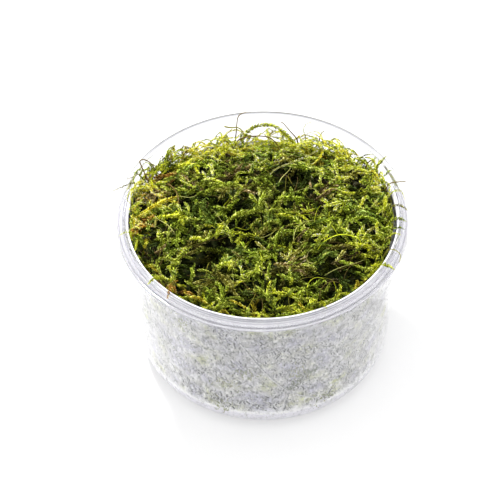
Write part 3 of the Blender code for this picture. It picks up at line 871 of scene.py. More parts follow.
def stem_rod(length, radius, segments, sides=3, end_share=0.5):
    """A thin closed rod along X that tapers to end_share of its radius."""
    shape = bmesh.new()
    ring = bmesh.ops.create_circle(shape, cap_ends=True, segments=sides, radius=radius)["verts"]
    turn_to_x = Matrix.Rotation(math.pi / 2, 3, "Y")
    bmesh.ops.rotate(shape, verts=ring, cent=(0, 0, 0), matrix=turn_to_x)
    end = shape.faces[:]
    shrink = end_share ** (1.0 / segments)
    for number in range(segments):
        grown = bmesh.ops.extrude_face_region(shape, geom=end)["geom"]
        if number > 0:
            bmesh.ops.delete(shape, geom=end, context="FACES_ONLY")
        end = [item for item in grown if isinstance(item, bmesh.types.BMFace)]
        ring = [item for item in grown if isinstance(item, bmesh.types.BMVert)]
        bmesh.ops.translate(shape, verts=ring, vec=(length / segments, 0.0, 0.0))
        bmesh.ops.scale(shape, verts=ring, vec=(1.0, shrink, shrink))
    bmesh.ops.recalc_face_normals(shape, faces=shape.faces)
    return shape


def rod_template(length, radius, segments, sides, end_share):
    rod = stem_rod(length, radius, segments, sides, end_share)
    return template_of(rod, length, lambda corner: 1.0)


blade = leaf_blade()
print("a leaf has", len(blade.faces), "faces; its volume is positive:", blade.calc_volume(signed=True) > 0.0)
blade_mesh = bpy.data.meshes.new("blade")
blade.to_mesh(blade_mesh)
blade.free()

# %% [markdown]
# ## Shoots
#
# A shoot is a thin three-sided stem with leaves set forward in rows round it. The leaves are small at the
# foot and at the tip, and no two lean alike. Each leaf has painted shade at its base, where it crowds on the
# stem, and painted light at its tip, and a few carry a painted glint. A handful of lengths is enough,
# because each copy is bent and turned in its own way.

# %% Shoots
LEAF_PITCH = 0.40 * MM
STEM_RADIUS = 0.11 * MM
STEM_SHADE = 0.75
LEAF_BASE_SHADE = 0.08
LEAF_TIP_SHADE = 1.80
GLINT_LEAVES = 0.08
GLINT_LEAF_GAIN = 2.6


def shoot_template(length_mm, rows, seed, leaf_scale=1.0, lean=(38.0, 62.0), sparse=0.0):
    """A straight leafy shoot: rows are the angles of its rows of leaves round the stem, in degrees."""
    dice = random.Random(seed)
    length = length_mm * MM
    shape = stem_rod(length * 0.97, STEM_RADIUS, max(4, round(length_mm * 0.9)))
    shades = {}
    count = int(length / LEAF_PITCH)
    for number in range(count):
        for row, angle in enumerate(rows):
            if dice.random() < sparse:
                continue
            share = (number + 0.5 * (row % 2) + dice.uniform(-0.2, 0.2)) / count
            grown = min(1.0, 0.55 + 2.0 * share, 0.35 + 2.6 * (1.0 - share))
            size = LEAF_LENGTH * leaf_scale * grown * dice.uniform(0.82, 1.15)
            forward = math.radians(dice.uniform(*lean) * (1.0 - 0.45 * share ** 3))
            place = (
                Matrix.Translation((length * max(0.0, share), 0.0, 0.0))
                @ Matrix.Rotation(math.radians(angle + dice.gauss(0.0, 12.0)), 4, "X")
                @ Matrix.Rotation(forward, 4, "Z")
                @ Matrix.Rotation(dice.gauss(0.0, 0.35), 4, "X")
                @ Matrix.Scale(size, 4)
            )
            before = len(shape.verts)
            shape.from_mesh(blade_mesh)
            shape.verts.ensure_lookup_table()
            leaf = shape.verts[before:]
            lightness = 2.0 ** dice.uniform(-2.2, 1.1)
            # A few leaves are lightened: a painted glint.
            lightness *= GLINT_LEAF_GAIN if dice.random() < GLINT_LEAVES else 1.0
            # Painted shade at the leaf's base and painted light at its tip.
            for corner in leaf:
                towards_tip = (LEAF_TIP_SHADE - LEAF_BASE_SHADE) * corner.co.x
                shades[corner] = lightness * (LEAF_BASE_SHADE + towards_tip)
            bmesh.ops.transform(shape, matrix=place, verts=leaf)
    return template_of(shape, length, lambda corner: shades.get(corner, STEM_SHADE))


PLUME_ROWS = (5.0, 175.0, 55.0, 125.0)
BUSHY_ROWS = (0.0, 180.0, 60.0, 240.0, 120.0)
plumes = {
    length: [shoot_template(length, PLUME_ROWS, seed, 1.0, (42.0, 70.0)) for seed in (1, 2)]
    for length in (7, 9, 11, 13)
}
sprigs = {
    length: [shoot_template(length, PLUME_ROWS, seed, 0.8, (40.0, 66.0)) for seed in (5, 6)]
    for length in (3, 4, 5, 6)
}
bushy_shoots = {
    length: [shoot_template(length, BUSHY_ROWS, seed, 0.85, (30.0, 60.0)) for seed in (3, 4)]
    for length in (4, 6, 8)
}
for kind, templates in (("plume", plumes), ("sprig", sprigs), ("bushy shoot", bushy_shoots)):
    print(kind, {length: len(made[0].triangles) for length, made in templates.items()}, "triangles")

# %% [markdown]
# ## Tints
#
# Fresh tips are lime, older shoots deep green, dead ones brown. Every shoot gets one of these tints, and
# a set of weights says how often each comes up: in the middle, at the rim, at the back and on the lip.

# %% Tints
TINTS = {
    # The dark and umber tints are near black: partly old dark shoots, partly painted shade in the gaps.
    "dark": (0.016, 0.026, 0.003),
    "deep": (0.052, 0.078, 0.007),
    "mid": (0.135, 0.180, 0.012),
    "olive": (0.160, 0.150, 0.022),
    "bright": (0.285, 0.345, 0.028),
    "lime": (0.480, 0.540, 0.024),
    "yellow": (0.600, 0.480, 0.030),
    "pale": (0.520, 0.520, 0.160),
    "orange": (0.480, 0.250, 0.040),
    "brown": (0.110, 0.078, 0.024),
    "umber": (0.022, 0.017, 0.007),
}
USUAL = {"deep": 3, "mid": 6, "olive": 1.2, "bright": 4, "lime": 1, "brown": 0.4}
RIM = {"mid": 2, "bright": 3, "lime": 3, "yellow": 1.2, "olive": 1}
BACK_RIM = {"bright": 3, "lime": 7, "yellow": 5}
OVER_RIM = {"olive": 4, "mid": 2, "bright": 3, "lime": 2}


def pick(weights, dice):
    return TINTS[dice.choices(list(weights), list(weights.values()))[0]]


print(len(TINTS), "tints")

# %% [markdown]
# ## Where the tints gather
#
# Where each colour gathers is part of how this clump looks: lime and yellow round the edge, a rusty patch
# at the back left, brown spots between, and near-black spots in the hollows, which are partly old dark
# shoots and partly painted shade. Each patch is a soft circle, and it gives its own weights to the shoots
# that start inside it.

# %% Where the tints gather
# Patches: centre and radius in millimetres, then the tints found there.
PATCHES = [
    ((-31.0, 11.4), 7.0, {"orange": 3, "yellow": 5, "olive": 1, "brown": 1, "lime": 1}),
    ((-35.0, -1.5), 4.5, {"yellow": 4, "lime": 4, "bright": 2, "orange": 0.6}),
    ((-30.5, -11.0), 5.0, {"umber": 4, "brown": 3, "dark": 3, "olive": 1}),
    ((-25.4, -24.0), 4.0, {"orange": 4, "yellow": 3, "lime": 2, "brown": 2}),
    ((-23.0, 24.0), 6.0, {"lime": 4, "bright": 4, "yellow": 1, "mid": 2}),
    ((31.0, 15.0), 5.5, {"lime": 6, "yellow": 2, "bright": 3, "mid": 1}),
    ((33.5, -17.5), 6.0, {"lime": 5, "bright": 5, "mid": 2}),
    ((-8.8, -14.8), 2.4, {"yellow": 5, "pale": 1, "lime": 2}),
    ((6.4, 17.4), 3.0, {"umber": 3, "dark": 5, "brown": 2}),
    ((12.5, 15.5), 3.6, {"umber": 4, "dark": 5, "brown": 3}),
    ((25.6, 12.5), 3.6, {"umber": 4, "dark": 4}),
    ((-13.5, 7.2), 3.0, {"dark": 5, "deep": 2, "umber": 1}),
    ((-22.6, 7.0), 2.6, {"dark": 5, "umber": 2}),
    ((-3.9, 10.2), 3.4, {"brown": 4, "olive": 2, "umber": 2}),
    ((-7.5, -4.5), 4.0, {"dark": 4, "deep": 4, "mid": 1}),
    ((-3.5, -17.0), 3.0, {"dark": 4, "deep": 3, "mid": 1}),
    ((17.5, -22.0), 4.0, {"dark": 4, "umber": 2, "brown": 2, "deep": 2}),
    ((10.9, -28.5), 3.2, {"lime": 4, "bright": 4, "mid": 1}),
    ((7.2, -15.7), 6.0, {"olive": 4, "mid": 3, "bright": 1, "brown": 1}),
    ((17.3, -6.0), 3.0, {"bright": 4, "lime": 2, "mid": 1}),
]
PATCH_SHARE = 0.9
PATCH_FADE = 0.4
RIM_BAND = 0.86
RIM_SHARE = 0.75
DEPTH_AGE_AND_SHADE = 0.97
TOP_GAIN = 1.5
TINT_SPREAD = 0.60


def patch_at(x, y, weights, dice):
    """The tints of the patch at (x, y) in metres, or the given ones where there is none."""
    for centre, radius, found in PATCHES:
        off = math.hypot(x / MM - centre[0], y / MM - centre[1]) / radius
        if off < 1.0 and dice.random() < PATCH_SHARE - PATCH_FADE * off:
            weights = found
    return weights


def pick_tint(x, y, depth, dice):
    """A tint for a shoot at (x, y) in metres; depth is 0 on top of the mat and 1 at its bottom."""
    weights = USUAL
    if math.hypot(x, y) > RIM_BAND * mat_radius(x, y) and dice.random() < RIM_SHARE:
        weights = BACK_RIM if y > 0.5 * MAT_RADIUS_BACK else RIM
    tint = np.array(pick(patch_at(x, y, weights, dice), dice))
    # Deeper shoots are darker: partly because they are older, partly painted shade from the layers above.
    return tint * (1.0 - DEPTH_AGE_AND_SHADE * depth) ** 1.2 * TOP_GAIN * 2.0 ** dice.gauss(0.0, TINT_SPREAD)


print(len(PATCHES), "patches of their own tints")

# %% [markdown]
# ## Tufts and hollows
#
# Tufts stand up into the light, and between them the mat is sunken and dark. Each tuft paints light onto
# the shoots round it and each hollow paints shade, as a gain on their tints, and in the hollows some of the
# fresh shoots are left out. Many small hollows are strewn by seeded dice. A shoot on the lip lies in the
# open, so no hollow darkens it.

# %% Tufts and hollows
# Light on the mat: x, y and radius in millimetres, then the gain in doublings.
LIGHT_PLACES = [
    (-29.0, 4.5, 4.5, 0.8), (-30.5, -2.0, 4.0, 0.7), (-18.2, 19.3, 5.5, 0.9), (-12.7, 15.4, 4.0, 0.5),
    (0.0, 27.0, 8.0, 1.0), (10.0, 27.0, 8.0, 0.9), (-12.0, 26.0, 7.0, 0.8), (16.5, 14.1, 4.0, 0.8),
    (22.0, 16.0, 6.0, 0.9), (-3.9, 9.2, 3.5, 0.6), (2.7, 7.6, 3.5, 0.7), (-11.0, 10.1, 3.5, 0.6),
    (22.7, 2.8, 3.5, 0.7), (13.3, -3.6, 3.5, 0.8), (27.8, -3.9, 5.0, 0.8), (30.9, -7.6, 3.5, 0.7),
    (-16.9, -3.1, 3.5, 0.5), (-8.3, -9.0, 2.6, 0.6), (-26.5, -8.0, 3.0, 0.4), (5.1, -14.3, 3.5, 0.5),
    (-7.7, -15.5, 2.8, 0.6), (22.1, -14.6, 2.6, 0.4), (-25.2, -19.4, 3.5, 0.4), (0.2, -19.9, 3.5, 0.5),
    (8.7, -20.0, 3.5, 0.5), (17.0, -26.4, 3.0, 0.3), (-30.6, 9.0, 6.0, 1.3), (31.0, 12.0, 7.0, 1.2),
    (-16.9, -9.6, 2.8, -1.3), (-4.0, -7.9, 2.4, -1.4), (-12.6, -12.6, 2.4, -1.1), (-4.2, -2.6, 2.0, -0.9),
    (21.7, -9.8, 2.3, -1.2), (-17.3, -15.3, 2.4, -1.2), (-29.6, -14.4, 2.4, -1.0), (-22.3, -15.0, 2.0, -1.0),
    (25.8, -16.0, 2.4, -1.0), (-12.5, -20.6, 2.6, -1.2), (13.5, -21.8, 2.4, -1.0), (19.6, -20.6, 2.6, -1.2),
    (25.2, -21.4, 2.4, -1.0), (21.7, -25.8, 1.8, -0.8), (0.6, -31.6, 2.8, -0.8), (13.6, 7.0, 2.4, -1.4),
    (-8.3, 14.6, 1.8, -1.0), (-4.5, 2.5, 1.8, -0.9), (-21.4, 8.0, 2.6, -1.2), (8.5, -30.4, 2.2, -0.7),
    (-16.7, -26.1, 2.2, -1.0), (-8.3, -29.8, 2.4, -1.0), (28.6, 8.6, 2.0, -1.0), (-16.2, 1.4, 1.6, -1.0),
    (6.4, 17.4, 1.8, -1.4), (12.5, 15.0, 2.4, -1.4), (-13.5, 6.4, 2.0, -1.2), (25.6, 12.0, 1.8, -1.0),
]
SMALL_HOLLOWS = 330


def small_hollows(count):
    """More hollows between the shoots: small and deep, longer across the cup than along it."""
    dice = random.Random(31)
    ranges = ((-35.0, 35.0), (-34.0, 30.0), (0.45, 1.1), (-3.5, -1.2))
    return [tuple(dice.uniform(*limits) for limits in ranges) for _ in range(count)]


light_places = np.array(LIGHT_PLACES + small_hollows(SMALL_HOLLOWS))


def light_on(points):
    """How much light the mat gets at points, where 1 is usual."""
    off_x = (points[:, :1] / MM - light_places[:, 0]) / (1.25 * light_places[:, 2])
    off_y = (points[:, 1:2] / MM - light_places[:, 1]) / light_places[:, 2]
    # The gain is painted light and shade on the shoots' tints.
    gain = np.exp(-off_x ** 2 - off_y ** 2) @ light_places[:, 3]
    on_lip = (points[:, 2] > CUP_HEIGHT) & (np.hypot(points[:, 0], points[:, 1]) > 0.97 * MOUTH_RADIUS)
    gain[on_lip] = np.maximum(gain[on_lip], 0.0)
    return 2.0 ** np.clip(gain, -4.0, 1.4)


def sunken(line, dice):
    """Whether a fresh shoot is missing, because the mat is sunken along its route."""
    gain = np.log2(light_on(line)).mean()
    return dice.random() < min(0.75, -0.45 * gain)


print(len(LIGHT_PLACES), "tufts and hollows, and", SMALL_HOLLOWS, "small hollows")

# %% [markdown]
# ## Lines on the gel's skin
#
# Everything that is drawn on the gel lies on its skin, so a line is walked over the wall: its heading is
# an angle between "round the cup" and "up", and each step follows the skin's radius at that height.

# %% Lines on the gel's skin
FOOT_BOTTOM = 3.4 * MM
CEILING_MARGIN = 0.2 * MM


def at_angle(around, radius, height):
    """The point at an angle round the cup, where 0 is the front."""
    return radius * math.sin(around), -radius * math.cos(around), height


def gel_radius(height):
    """The radius of the gel's skin at a height."""
    if height >= FOOT_ROUNDING:
        return inner_wall(height)
    reach = inner_wall(FOOT_ROUNDING) - foot_centre[0]
    return foot_centre[0] + math.sqrt(max(0.0, reach ** 2 - (FOOT_ROUNDING - height) ** 2))


def gel_ceiling(around):
    """How high the gel or its film reaches on the wall."""
    x, y, _ = at_angle(around, MOUTH_RADIUS, 0.0)
    return film_middle(x, y) - CEILING_MARGIN


def line_on_gel(around, height, heading, length, curl, count, proud):
    """A route on the gel's skin: heading 0 runs round the cup and 90 degrees runs up; curl bends it."""
    line = []
    step = length / (count - 1)
    for index in range(count):
        height = min(max(height, FOOT_BOTTOM), gel_ceiling(around))
        radius = gel_radius(height) + proud
        line.append(at_angle(around, radius, height))
        around += math.cos(heading) * step / radius
        height += math.sin(heading) * step
        heading += curl / (count - 1)
    return np.array(line)


def near_spot(spots, number, spread_degrees, spread_mm):
    """A place (around, height) near one of the spots, which are (degrees, millimetres)."""
    degrees, height = spots[number % len(spots)]
    around = math.radians(degrees + curl_dice.gauss(0.0, spread_degrees))
    return around, (height + curl_dice.gauss(0.0, spread_mm)) * MM


print("gel reaches", round(gel_ceiling(0.0) / MM, 1), "mm at the front and",
      round(gel_ceiling(math.pi) / MM, 1), "mm at the back")

# %% [markdown]
# ## Curls and their shades
#
# Pressed against the wall are pale curls where the gel has parted from it, and the rims of flat bubbles.
# Each is a thin rod bent along a short arc, and its near-white is painted highlight, the glint on those rims.
# Most have a grey twin beside them, which is their painted shade. They crowd in places, as bubbles do, and
# leave a clear strip along the crack.

# %% Curls and their shades
CURLS = 5600
CURL_BOTTOM = 8.2 * MM
CURL_LENGTH = 2.0 * MM
CURL_RADIUS = 0.26 * MM
CURL_POINTS = 5
CURLS_PER_FOOT_CURL = 12
CRACK_CLEARANCE = 0.9 * MM
CROWD_HEIGHT = 8.0 * MM
FRONT_HALF_ANGLE = 0.55
SHADE_SIDE = 0.38 * MM
SHADE_DROP = 0.1 * MM
CRACK = [
    [(-9.9, 39.1), (-5.1, 32.8), (0.2, 26.5), (5.7, 21.1), (10.0, 17.3)],
    [(10.0, 17.3), (8.8, 12.7), (7.9, 9.0)],
    [(10.0, 17.3), (15.5, 14.3), (24.1, 10.7)],
]
CURLS_PER_SPOT = 20
# Clusters of curls with painted highlight.
GLINT_SPOTS = [
    (31.4, 26.3), (17.0, 34.2), (-16.2, 38.0), (2.3, 35.6),
    (-28.7, 23.7), (-17.0, 22.0), (26.0, 33.0), (33.0, 19.0),
]


def crack_distance(around, height):
    """How far a place on the gel's skin is from the crack's nearest branch."""
    place = Vector((around * FOOT_RADIUS, height))
    distances = []
    for branch in CRACK:
        for (start, low), (end, high) in zip(branch, branch[1:]):
            first = Vector((math.radians(start) * FOOT_RADIUS, low * MM))
            along = Vector((math.radians(end) * FOOT_RADIUS, high * MM)) - first
            share = min(1.0, max(0.0, (place - first).dot(along) / along.length_squared))
            distances.append((place - first - share * along).length)
    return min(distances)


curl_rod = rod_template(CURL_LENGTH, CURL_RADIUS, 3, 3, 0.5)
curl_dice = random.Random(23)
curls, curl_shades = Pile(), Pile()
for number in range(CURLS):
    around = curl_dice.uniform(-math.pi, math.pi)
    height = curl_dice.uniform(CURL_BOTTOM, gel_ceiling(around))
    if number % CURLS_PER_FOOT_CURL == 0:
        height = curl_dice.uniform(FOOT_BOTTOM, CURL_BOTTOM)
    in_cluster = number < CURLS_PER_SPOT * len(GLINT_SPOTS)
    if in_cluster:
        around, height = near_spot(GLINT_SPOTS, number, 3.0, 1.9)
    crowd = noise.noise(Vector((around * 3.2, height / CROWD_HEIGHT, 5.0)))
    if curl_dice.random() > min(0.9, max(0.05, 0.36 + 2.8 * crowd)) and not in_cluster:
        continue
    if crack_distance(around, height) < CRACK_CLEARANCE:
        continue
    drift = noise.noise(Vector((around * 2.2, height / CROWD_HEIGHT, 0.0)))
    heading = math.pi / 2 - 1.1 * math.sin(around) + 1.5 * drift + curl_dice.gauss(0.0, 0.4)
    at_front = math.exp(-(around / FRONT_HALF_ANGLE) ** 2)
    curl = curl_dice.choice((0.4, -0.4, 0.9, 2.4, -2.4, 4.2)) * (0.35 + 0.65 * at_front)
    length = curl_dice.uniform(0.5, 2.6 - 1.0 * at_front) * MM
    width = curl_dice.uniform(0.7, 1.4)
    if in_cluster:
        curl = curl_dice.choice((-4.6, 3.2, 5.0))
        length = curl_dice.uniform(0.8, 1.8) * MM
        width = 1.7
    # Painted highlight: the curl's near-white.
    white = curl_dice.uniform(0.92, 1.0)
    line = line_on_gel(around, height, heading, length, curl, CURL_POINTS, 0.05 * MM)
    curls.add(curl_rod, bent(curl_rod, line, width), (white, white, white))
    # Painted shade: the curl's grey twin, a little beside and below it.
    beside, below = around + SHADE_SIDE / FOOT_RADIUS, height - SHADE_DROP
    line = line_on_gel(beside, below, heading, length, curl, CURL_POINTS, 0.0)
    grey = curl_dice.uniform(0.03, 0.26)
    if number % 4 or in_cluster:
        curl_shades.add(curl_rod, bent(curl_rod, line, width * 0.75), (grey, grey, grey * 1.03))
print(len(curls.points), "curls and", len(curl_shades.points), "shades")

# %% [markdown]
# ## Bits of old moss
#
# Small bits of leaf and stem have sunk into the gel. Most are grey and lie anywhere. Greenish ones gather
# in a few places, and a row of dark ones follows the branch of the crack.

# %% Bits of old moss
BITS = 520
BIT_RADIUS = 0.15 * MM
BITS_PER_DARK_SPOT = 20
BITS_PER_GREEN_SPOT = 34
DARK_SPOTS = [(11.2, 18.2), (13.0, 19.6), (15.0, 21.0), (17.0, 22.4), (19.6, 23.8), (22.6, 24.2)]
GREEN_SPOTS = [(-16.4, 19.7), (-36.8, 39.4), (-8.3, 25.7), (15.2, 24.2), (-19.0, 9.0), (27.0, 9.0)]
GREY_BITS = ((0.20, 0.21, 0.17), (0.24, 0.27, 0.13), (0.22, 0.21, 0.24))
GREEN_BITS = ((0.36, 0.38, 0.14), (0.30, 0.35, 0.12), (0.45, 0.44, 0.24))
DARK_BIT = (0.26, 0.29, 0.21)

bit_rod = rod_template(1.0 * MM, BIT_RADIUS, 3, 4, 0.3)
bits = Pile()
for number in range(BITS):
    around = curl_dice.uniform(-math.pi, math.pi)
    height = curl_dice.uniform(CURL_BOTTOM, gel_ceiling(around))
    tint = curl_dice.choice(GREY_BITS)
    if number >= BITS - BITS_PER_DARK_SPOT * len(DARK_SPOTS):
        around, height = near_spot(DARK_SPOTS, number, 0.9, 0.5)
        tint = DARK_BIT
    if number < BITS_PER_GREEN_SPOT * len(GREEN_SPOTS):
        around, height = near_spot(GREEN_SPOTS, number, 2.6, 1.8)
        tint = curl_dice.choice(GREEN_BITS)
    heading = curl_dice.gauss(math.pi / 2, 0.6)
    line = line_on_gel(around, height, heading, curl_dice.uniform(0.5, 1.8) * MM, 0.5, 4, 0.0)
    bits.add(bit_rod, bent(bit_rod, line, curl_dice.uniform(0.8, 1.5)), tint)
print(len(bits.points), "bits")

# %% [markdown]
# ## The crack, and the finish of all that lies on the gel
#
# A fine crack runs down the front and forks near the foot. It is a broken line of short pale strokes with
# a greyer one beside it, which is its painted shade. One finish serves curls, shades, crack and bits: its
# colour is the copy's tint.

# %% The crack and the finish
CRACK_STROKES = 6
CRACK_PROUD = 0.06 * MM
CRACK_WIDTH = 1.5
CRACK_SHADE_WIDTH = 0.8
CRACK_WHITE = (1.0, 1.0, 1.0)
# Painted shade beside the crack.
CRACK_PAINTED_SHADE = (0.40, 0.40, 0.42)


def lay_crack(branch, pile, width, tint):
    """A broken line of short strokes along a crack; its stations are (degrees, millimetres)."""
    for (start, low), (end, high) in zip(branch, branch[1:]):
        for step in range(CRACK_STROKES):
            line = []
            for part in (step, step + 0.5, step + 1.15):
                share = part / CRACK_STROKES
                around = math.radians(start + (end - start) * share + curl_dice.gauss(0.0, 0.22))
                height = (low + (high - low) * share) * MM
                line.append(at_angle(around, gel_radius(height) + CRACK_PROUD, height))
            stroke_width = curl_dice.uniform(0.8, 1.2) * width
            pile.add(curl_rod, bent(curl_rod, np.array(line), stroke_width), tint)


for branch in CRACK:
    lay_crack(branch, curls, CRACK_WIDTH, CRACK_WHITE)
    beside = [(degrees + 0.8, height - 0.4) for degrees, height in branch]
    lay_crack(beside, curl_shades, CRACK_SHADE_WIDTH, CRACK_PAINTED_SHADE)

# This finish carries painted highlights and painted shades as well as the bits' own colours.
tinted_finish = new_finish("painted glints and shades and bits in the gel", Roughness=0.3)
bit_cloud = ramp(tinted_finish, grain(tinted_finish, 1.2), [(0.3, (0.88,)), (0.7, (1.05,))])
bit_tint = mix(tinted_finish, 1.0, copy_tint(tinted_finish), bit_cloud, "MULTIPLY")
put(tinted_finish, "Base Color", bit_tint)
curls.piece("curls_in_gel", tinted_finish, "gel")
curl_shades.piece("shades_of_curls", tinted_finish, "gel")
bits.piece("moss_bits_in_gel", tinted_finish, "gel")

# %% [markdown]
# ## The felt under the shoots
#
# Under the living shoots lies a dark, matted felt. Its near-black is partly its own colour and partly
# painted shade, for the deep gaps between the shoots. It is a closed disc of rings, raised to the mat's
# height and roughened, so no light shows through the clump from any side. The finish of the leaves is
# made here too: each copy's tint, mottled, with a thin wet coat.

# %% The felt under the shoots
FELT_RINGS = 44
FELT_STEPS = 150
FELT_DEPTH = 2.0 * MM
FELT_REACH = 0.97
FELT_THINNEST = 0.3 * MM
FELT_LUMP = 0.6 * MM

moss_finish = new_finish(
    "wet moss leaf", Roughness=0.4, Specular_IOR_Level=0.0, Coat_Weight=0.06, Coat_Roughness=0.08
)
mottle = ramp(moss_finish, grain(moss_finish, 0.7, 2.0), [(0.3, (0.72,)), (0.5, (1.0,)), (0.72, (1.25,))])
put(moss_finish, "Base Color", mix(moss_finish, 1.0, copy_tint(moss_finish), mottle, "MULTIPLY"))
raise_bumps(moss_finish, grain(moss_finish, 0.22, 2.0), 0.03, 0.5)

# Near-black: partly the felt's own colour, partly painted shade for the deep gaps.
felt_and_gap_shade_finish = new_finish("dark moss felt with painted gap shade", Roughness=0.8, Specular_IOR_Level=0.0)
put(felt_and_gap_shade_finish, "Base Color", ramp(felt_and_gap_shade_finish, grain(felt_and_gap_shade_finish, 1.6, 4.0), [
    (0.3, (0.004, 0.005, 0.003)), (0.5, (0.012, 0.017, 0.005)), (0.7, (0.03, 0.03, 0.012)),
]))
raise_bumps(felt_and_gap_shade_finish, grain(felt_and_gap_shade_finish, 0.5, 4.0), 0.3)


def felt_disc():
    """The felt's closed body, from the gel up to a lumpy top under the fresh shoots."""
    spoke = [(MAT_RADIUS_FRONT * ring / FELT_RINGS, 0.0) for ring in range(FELT_RINGS + 1)]
    shape = turned(spoke, FELT_STEPS)
    raised = bmesh.ops.extrude_face_region(shape, geom=shape.faces[:])["geom"]
    top = {item for item in raised if isinstance(item, bmesh.types.BMVert)}
    for corner in shape.verts:
        narrowing = mat_radius(corner.co.x, corner.co.y) / MAT_RADIUS_FRONT
        x, y = corner.co.x * narrowing * FELT_REACH, corner.co.y * narrowing * FELT_REACH
        low = gel_top(y) + GAP
        if corner in top:
            lumps = noise.noise(Vector((x, y, 0.0)) / (2.2 * MM))
            lumps += 0.5 * noise.noise(Vector((x, y, 7.0)) / MM)
            high = mat_top(x, y) - FELT_DEPTH + FELT_LUMP * lumps
            corner.co = (x, y, max(high, low + FELT_THINNEST))
        else:
            corner.co = (x, y, low)
    bmesh.ops.recalc_face_normals(shape, faces=shape.faces)
    return shape


moss_felt = add_piece("moss_felt", felt_disc(), felt_and_gap_shade_finish)
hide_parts("moss_mat")
print("moss felt:", len(moss_felt.data.polygons), "faces")

# %% [markdown]
# ## The tangle
#
# The tangle is laid in layers, as moss is when it is pressed into a cup: dark shoots at the bottom, the
# freshest on top. Each shoot lies on the cushion, bends a little, dips under its neighbours, and its tip
# may rise. Most lie roughly across the cup.

# %% The tangle's routes
ROUTE_PITCH = 1.1 * MM
HEADING = 0.30


def lying_line(x, y, heading, length, lift, dice, rise=0.0, dip=0.5 * MM, bend=0.7):
    """A route over the cushion from (x, y): it bends, waves up and down, and its tip rises."""
    bend = dice.gauss(0.0, bend)
    phase = dice.random()
    count = max(5, round(length / ROUTE_PITCH) + 1)
    line = []
    for index in range(count):
        share = index / (count - 1)
        reach = min(1.0, (mat_radius(x, y) - 0.5 * MM) / max(math.hypot(x, y), MM))
        px, py = x * reach, y * reach
        height = mat_top(px, py) + lift + dip * math.sin(math.tau * (0.8 * share + phase))
        height += rise * share ** 2 - 1.4 * dip * (1.0 - share) ** 4
        line.append((px, py, max(height, gel_top(py) + 0.8 * MM)))
        angle = heading + bend * (share - 0.5)
        x += math.cos(angle) * length / (count - 1)
        y += math.sin(angle) * length / (count - 1)
    return keep_apart(np.array(line))


def keep_apart(line):
    """Lifts the points of a route that the wall has pressed together."""
    for index in range(1, len(line)):
        if np.linalg.norm(line[index] - line[index - 1]) < 0.25 * MM:
            line[index:, 2] += 0.3 * MM
    return line


sample = lying_line(0.0, 0.0, HEADING, 10.0 * MM, 0.0, random.Random(1))
print("a sample route has", len(sample), "points on", round(route_length_mm(sample), 1), "mm")

# %% [markdown]
# ## Leaves against the wall
#
# Leaves that would pass through the wall are pushed back onto it, as the real cup does. Above the rim
# there is no wall, so there they may lean out a little, and shoots meant to lie on the lip are lifted
# onto it. The template is the one whose length is nearest to the route's, so no leaf is stretched much.

# %% Leaves against the wall
WALL_MARGIN = 0.45 * MM
RIGHT_GAP = 0.9 * MM
LIP_CATCH = 1.0 * MM
LIP_CLEARANCE = 0.15 * MM
LEAN_OUT = 0.3
FRESH_TIP = np.array((0.04, 0.045, 0.015))


def press_to_wall(points, over_lip=False):
    """Points past the inner wall are pushed back onto it, as leaves are. Shoots over the lip lie on it."""
    radius = np.hypot(points[:, 0], points[:, 1])
    rightness = np.clip(points[:, 0] / np.maximum(radius, MM), 0.0, 1.0)
    wall = inner_wall(points[:, 2]) - WALL_MARGIN - RIGHT_GAP * rightness ** 2
    lean = LEAN_OUT * np.clip((points[:, 2] - CUP_HEIGHT) / MM, 0.0, 1.0)
    outside = radius > wall
    if over_lip:
        on_lip = (radius > MOUTH_RADIUS) & (points[:, 2] > CUP_HEIGHT - LIP_CATCH)
        points[on_lip, 2] = np.maximum(points[on_lip, 2], CUP_HEIGHT + LIP_CLEARANCE)
        outside &= points[:, 2] < CUP_HEIGHT
    pressed = wall + lean * (radius - wall)
    points[outside, :2] *= (pressed[outside] / radius[outside])[:, None]
    return points


def nearest(shoots, length):
    """The templates whose length is nearest to the one that is wanted."""
    return shoots[min(shoots, key=lambda known: abs(known * MM - length))]


def lay(pile, shoots, line, tint, dice, width=1.0, roll=0.6, fresh=1.0, over_lip=False):
    """One shoot on a route. Its tip is fresher, so it is lighter and yellower."""
    length = route_length_mm(line) * MM
    template = dice.choice(nearest(shoots, length))
    tip = tint * 1.3 + FRESH_TIP * fresh
    points = press_to_wall(bent(template, line, width, dice.gauss(0.0, roll)), over_lip)
    pile.add(template, points, tint, tip, light_on(points)[:, None])


print("leaves stop", round(WALL_MARGIN / MM, 2), "mm inside the wall")

# %% [markdown]
# ## Single shoots and feathery sprays
#
# The shoots of this moss branch like a feather, so the upper layers are made of sprays: a main shoot with
# shorter ones to its left and right. Bushy single shoots fill the gaps. Both are spread like a
# sunflower's seeds, which covers a round mat evenly, and then jolted, so that no pattern shows.

# %% Single shoots and feathery sprays
GOLDEN_ANGLE = math.pi * (3.0 - math.sqrt(5.0))
SPOT_JOLT = 1.2 * MM
SPOT_EDGE = 1.5 * MM


def even_spot(number, count, dice):
    """One of count places spread evenly over the mat, like a sunflower's seeds, and jolted a little."""
    distance = (MAT_RADIUS_FRONT - SPOT_EDGE) * math.sqrt((number + 0.5) / count)
    around = number * GOLDEN_ANGLE
    x = distance * math.cos(around) + dice.gauss(0.0, SPOT_JOLT)
    y = distance * math.sin(around) + dice.gauss(0.0, SPOT_JOLT)
    return x, y


def across_spot(number, count, spread, back_share, lengths, dice):
    """A spot, and the start, heading and length of a shoot whose middle lies there."""
    x, y = even_spot(number, count, dice)
    heading = dice.gauss(HEADING, spread) + (math.pi if dice.random() < back_share else 0.0)
    length = dice.uniform(*lengths) * MM
    start = (x - math.cos(heading) * length / 2, y - math.sin(heading) * length / 2)
    return (x, y), start, heading, length


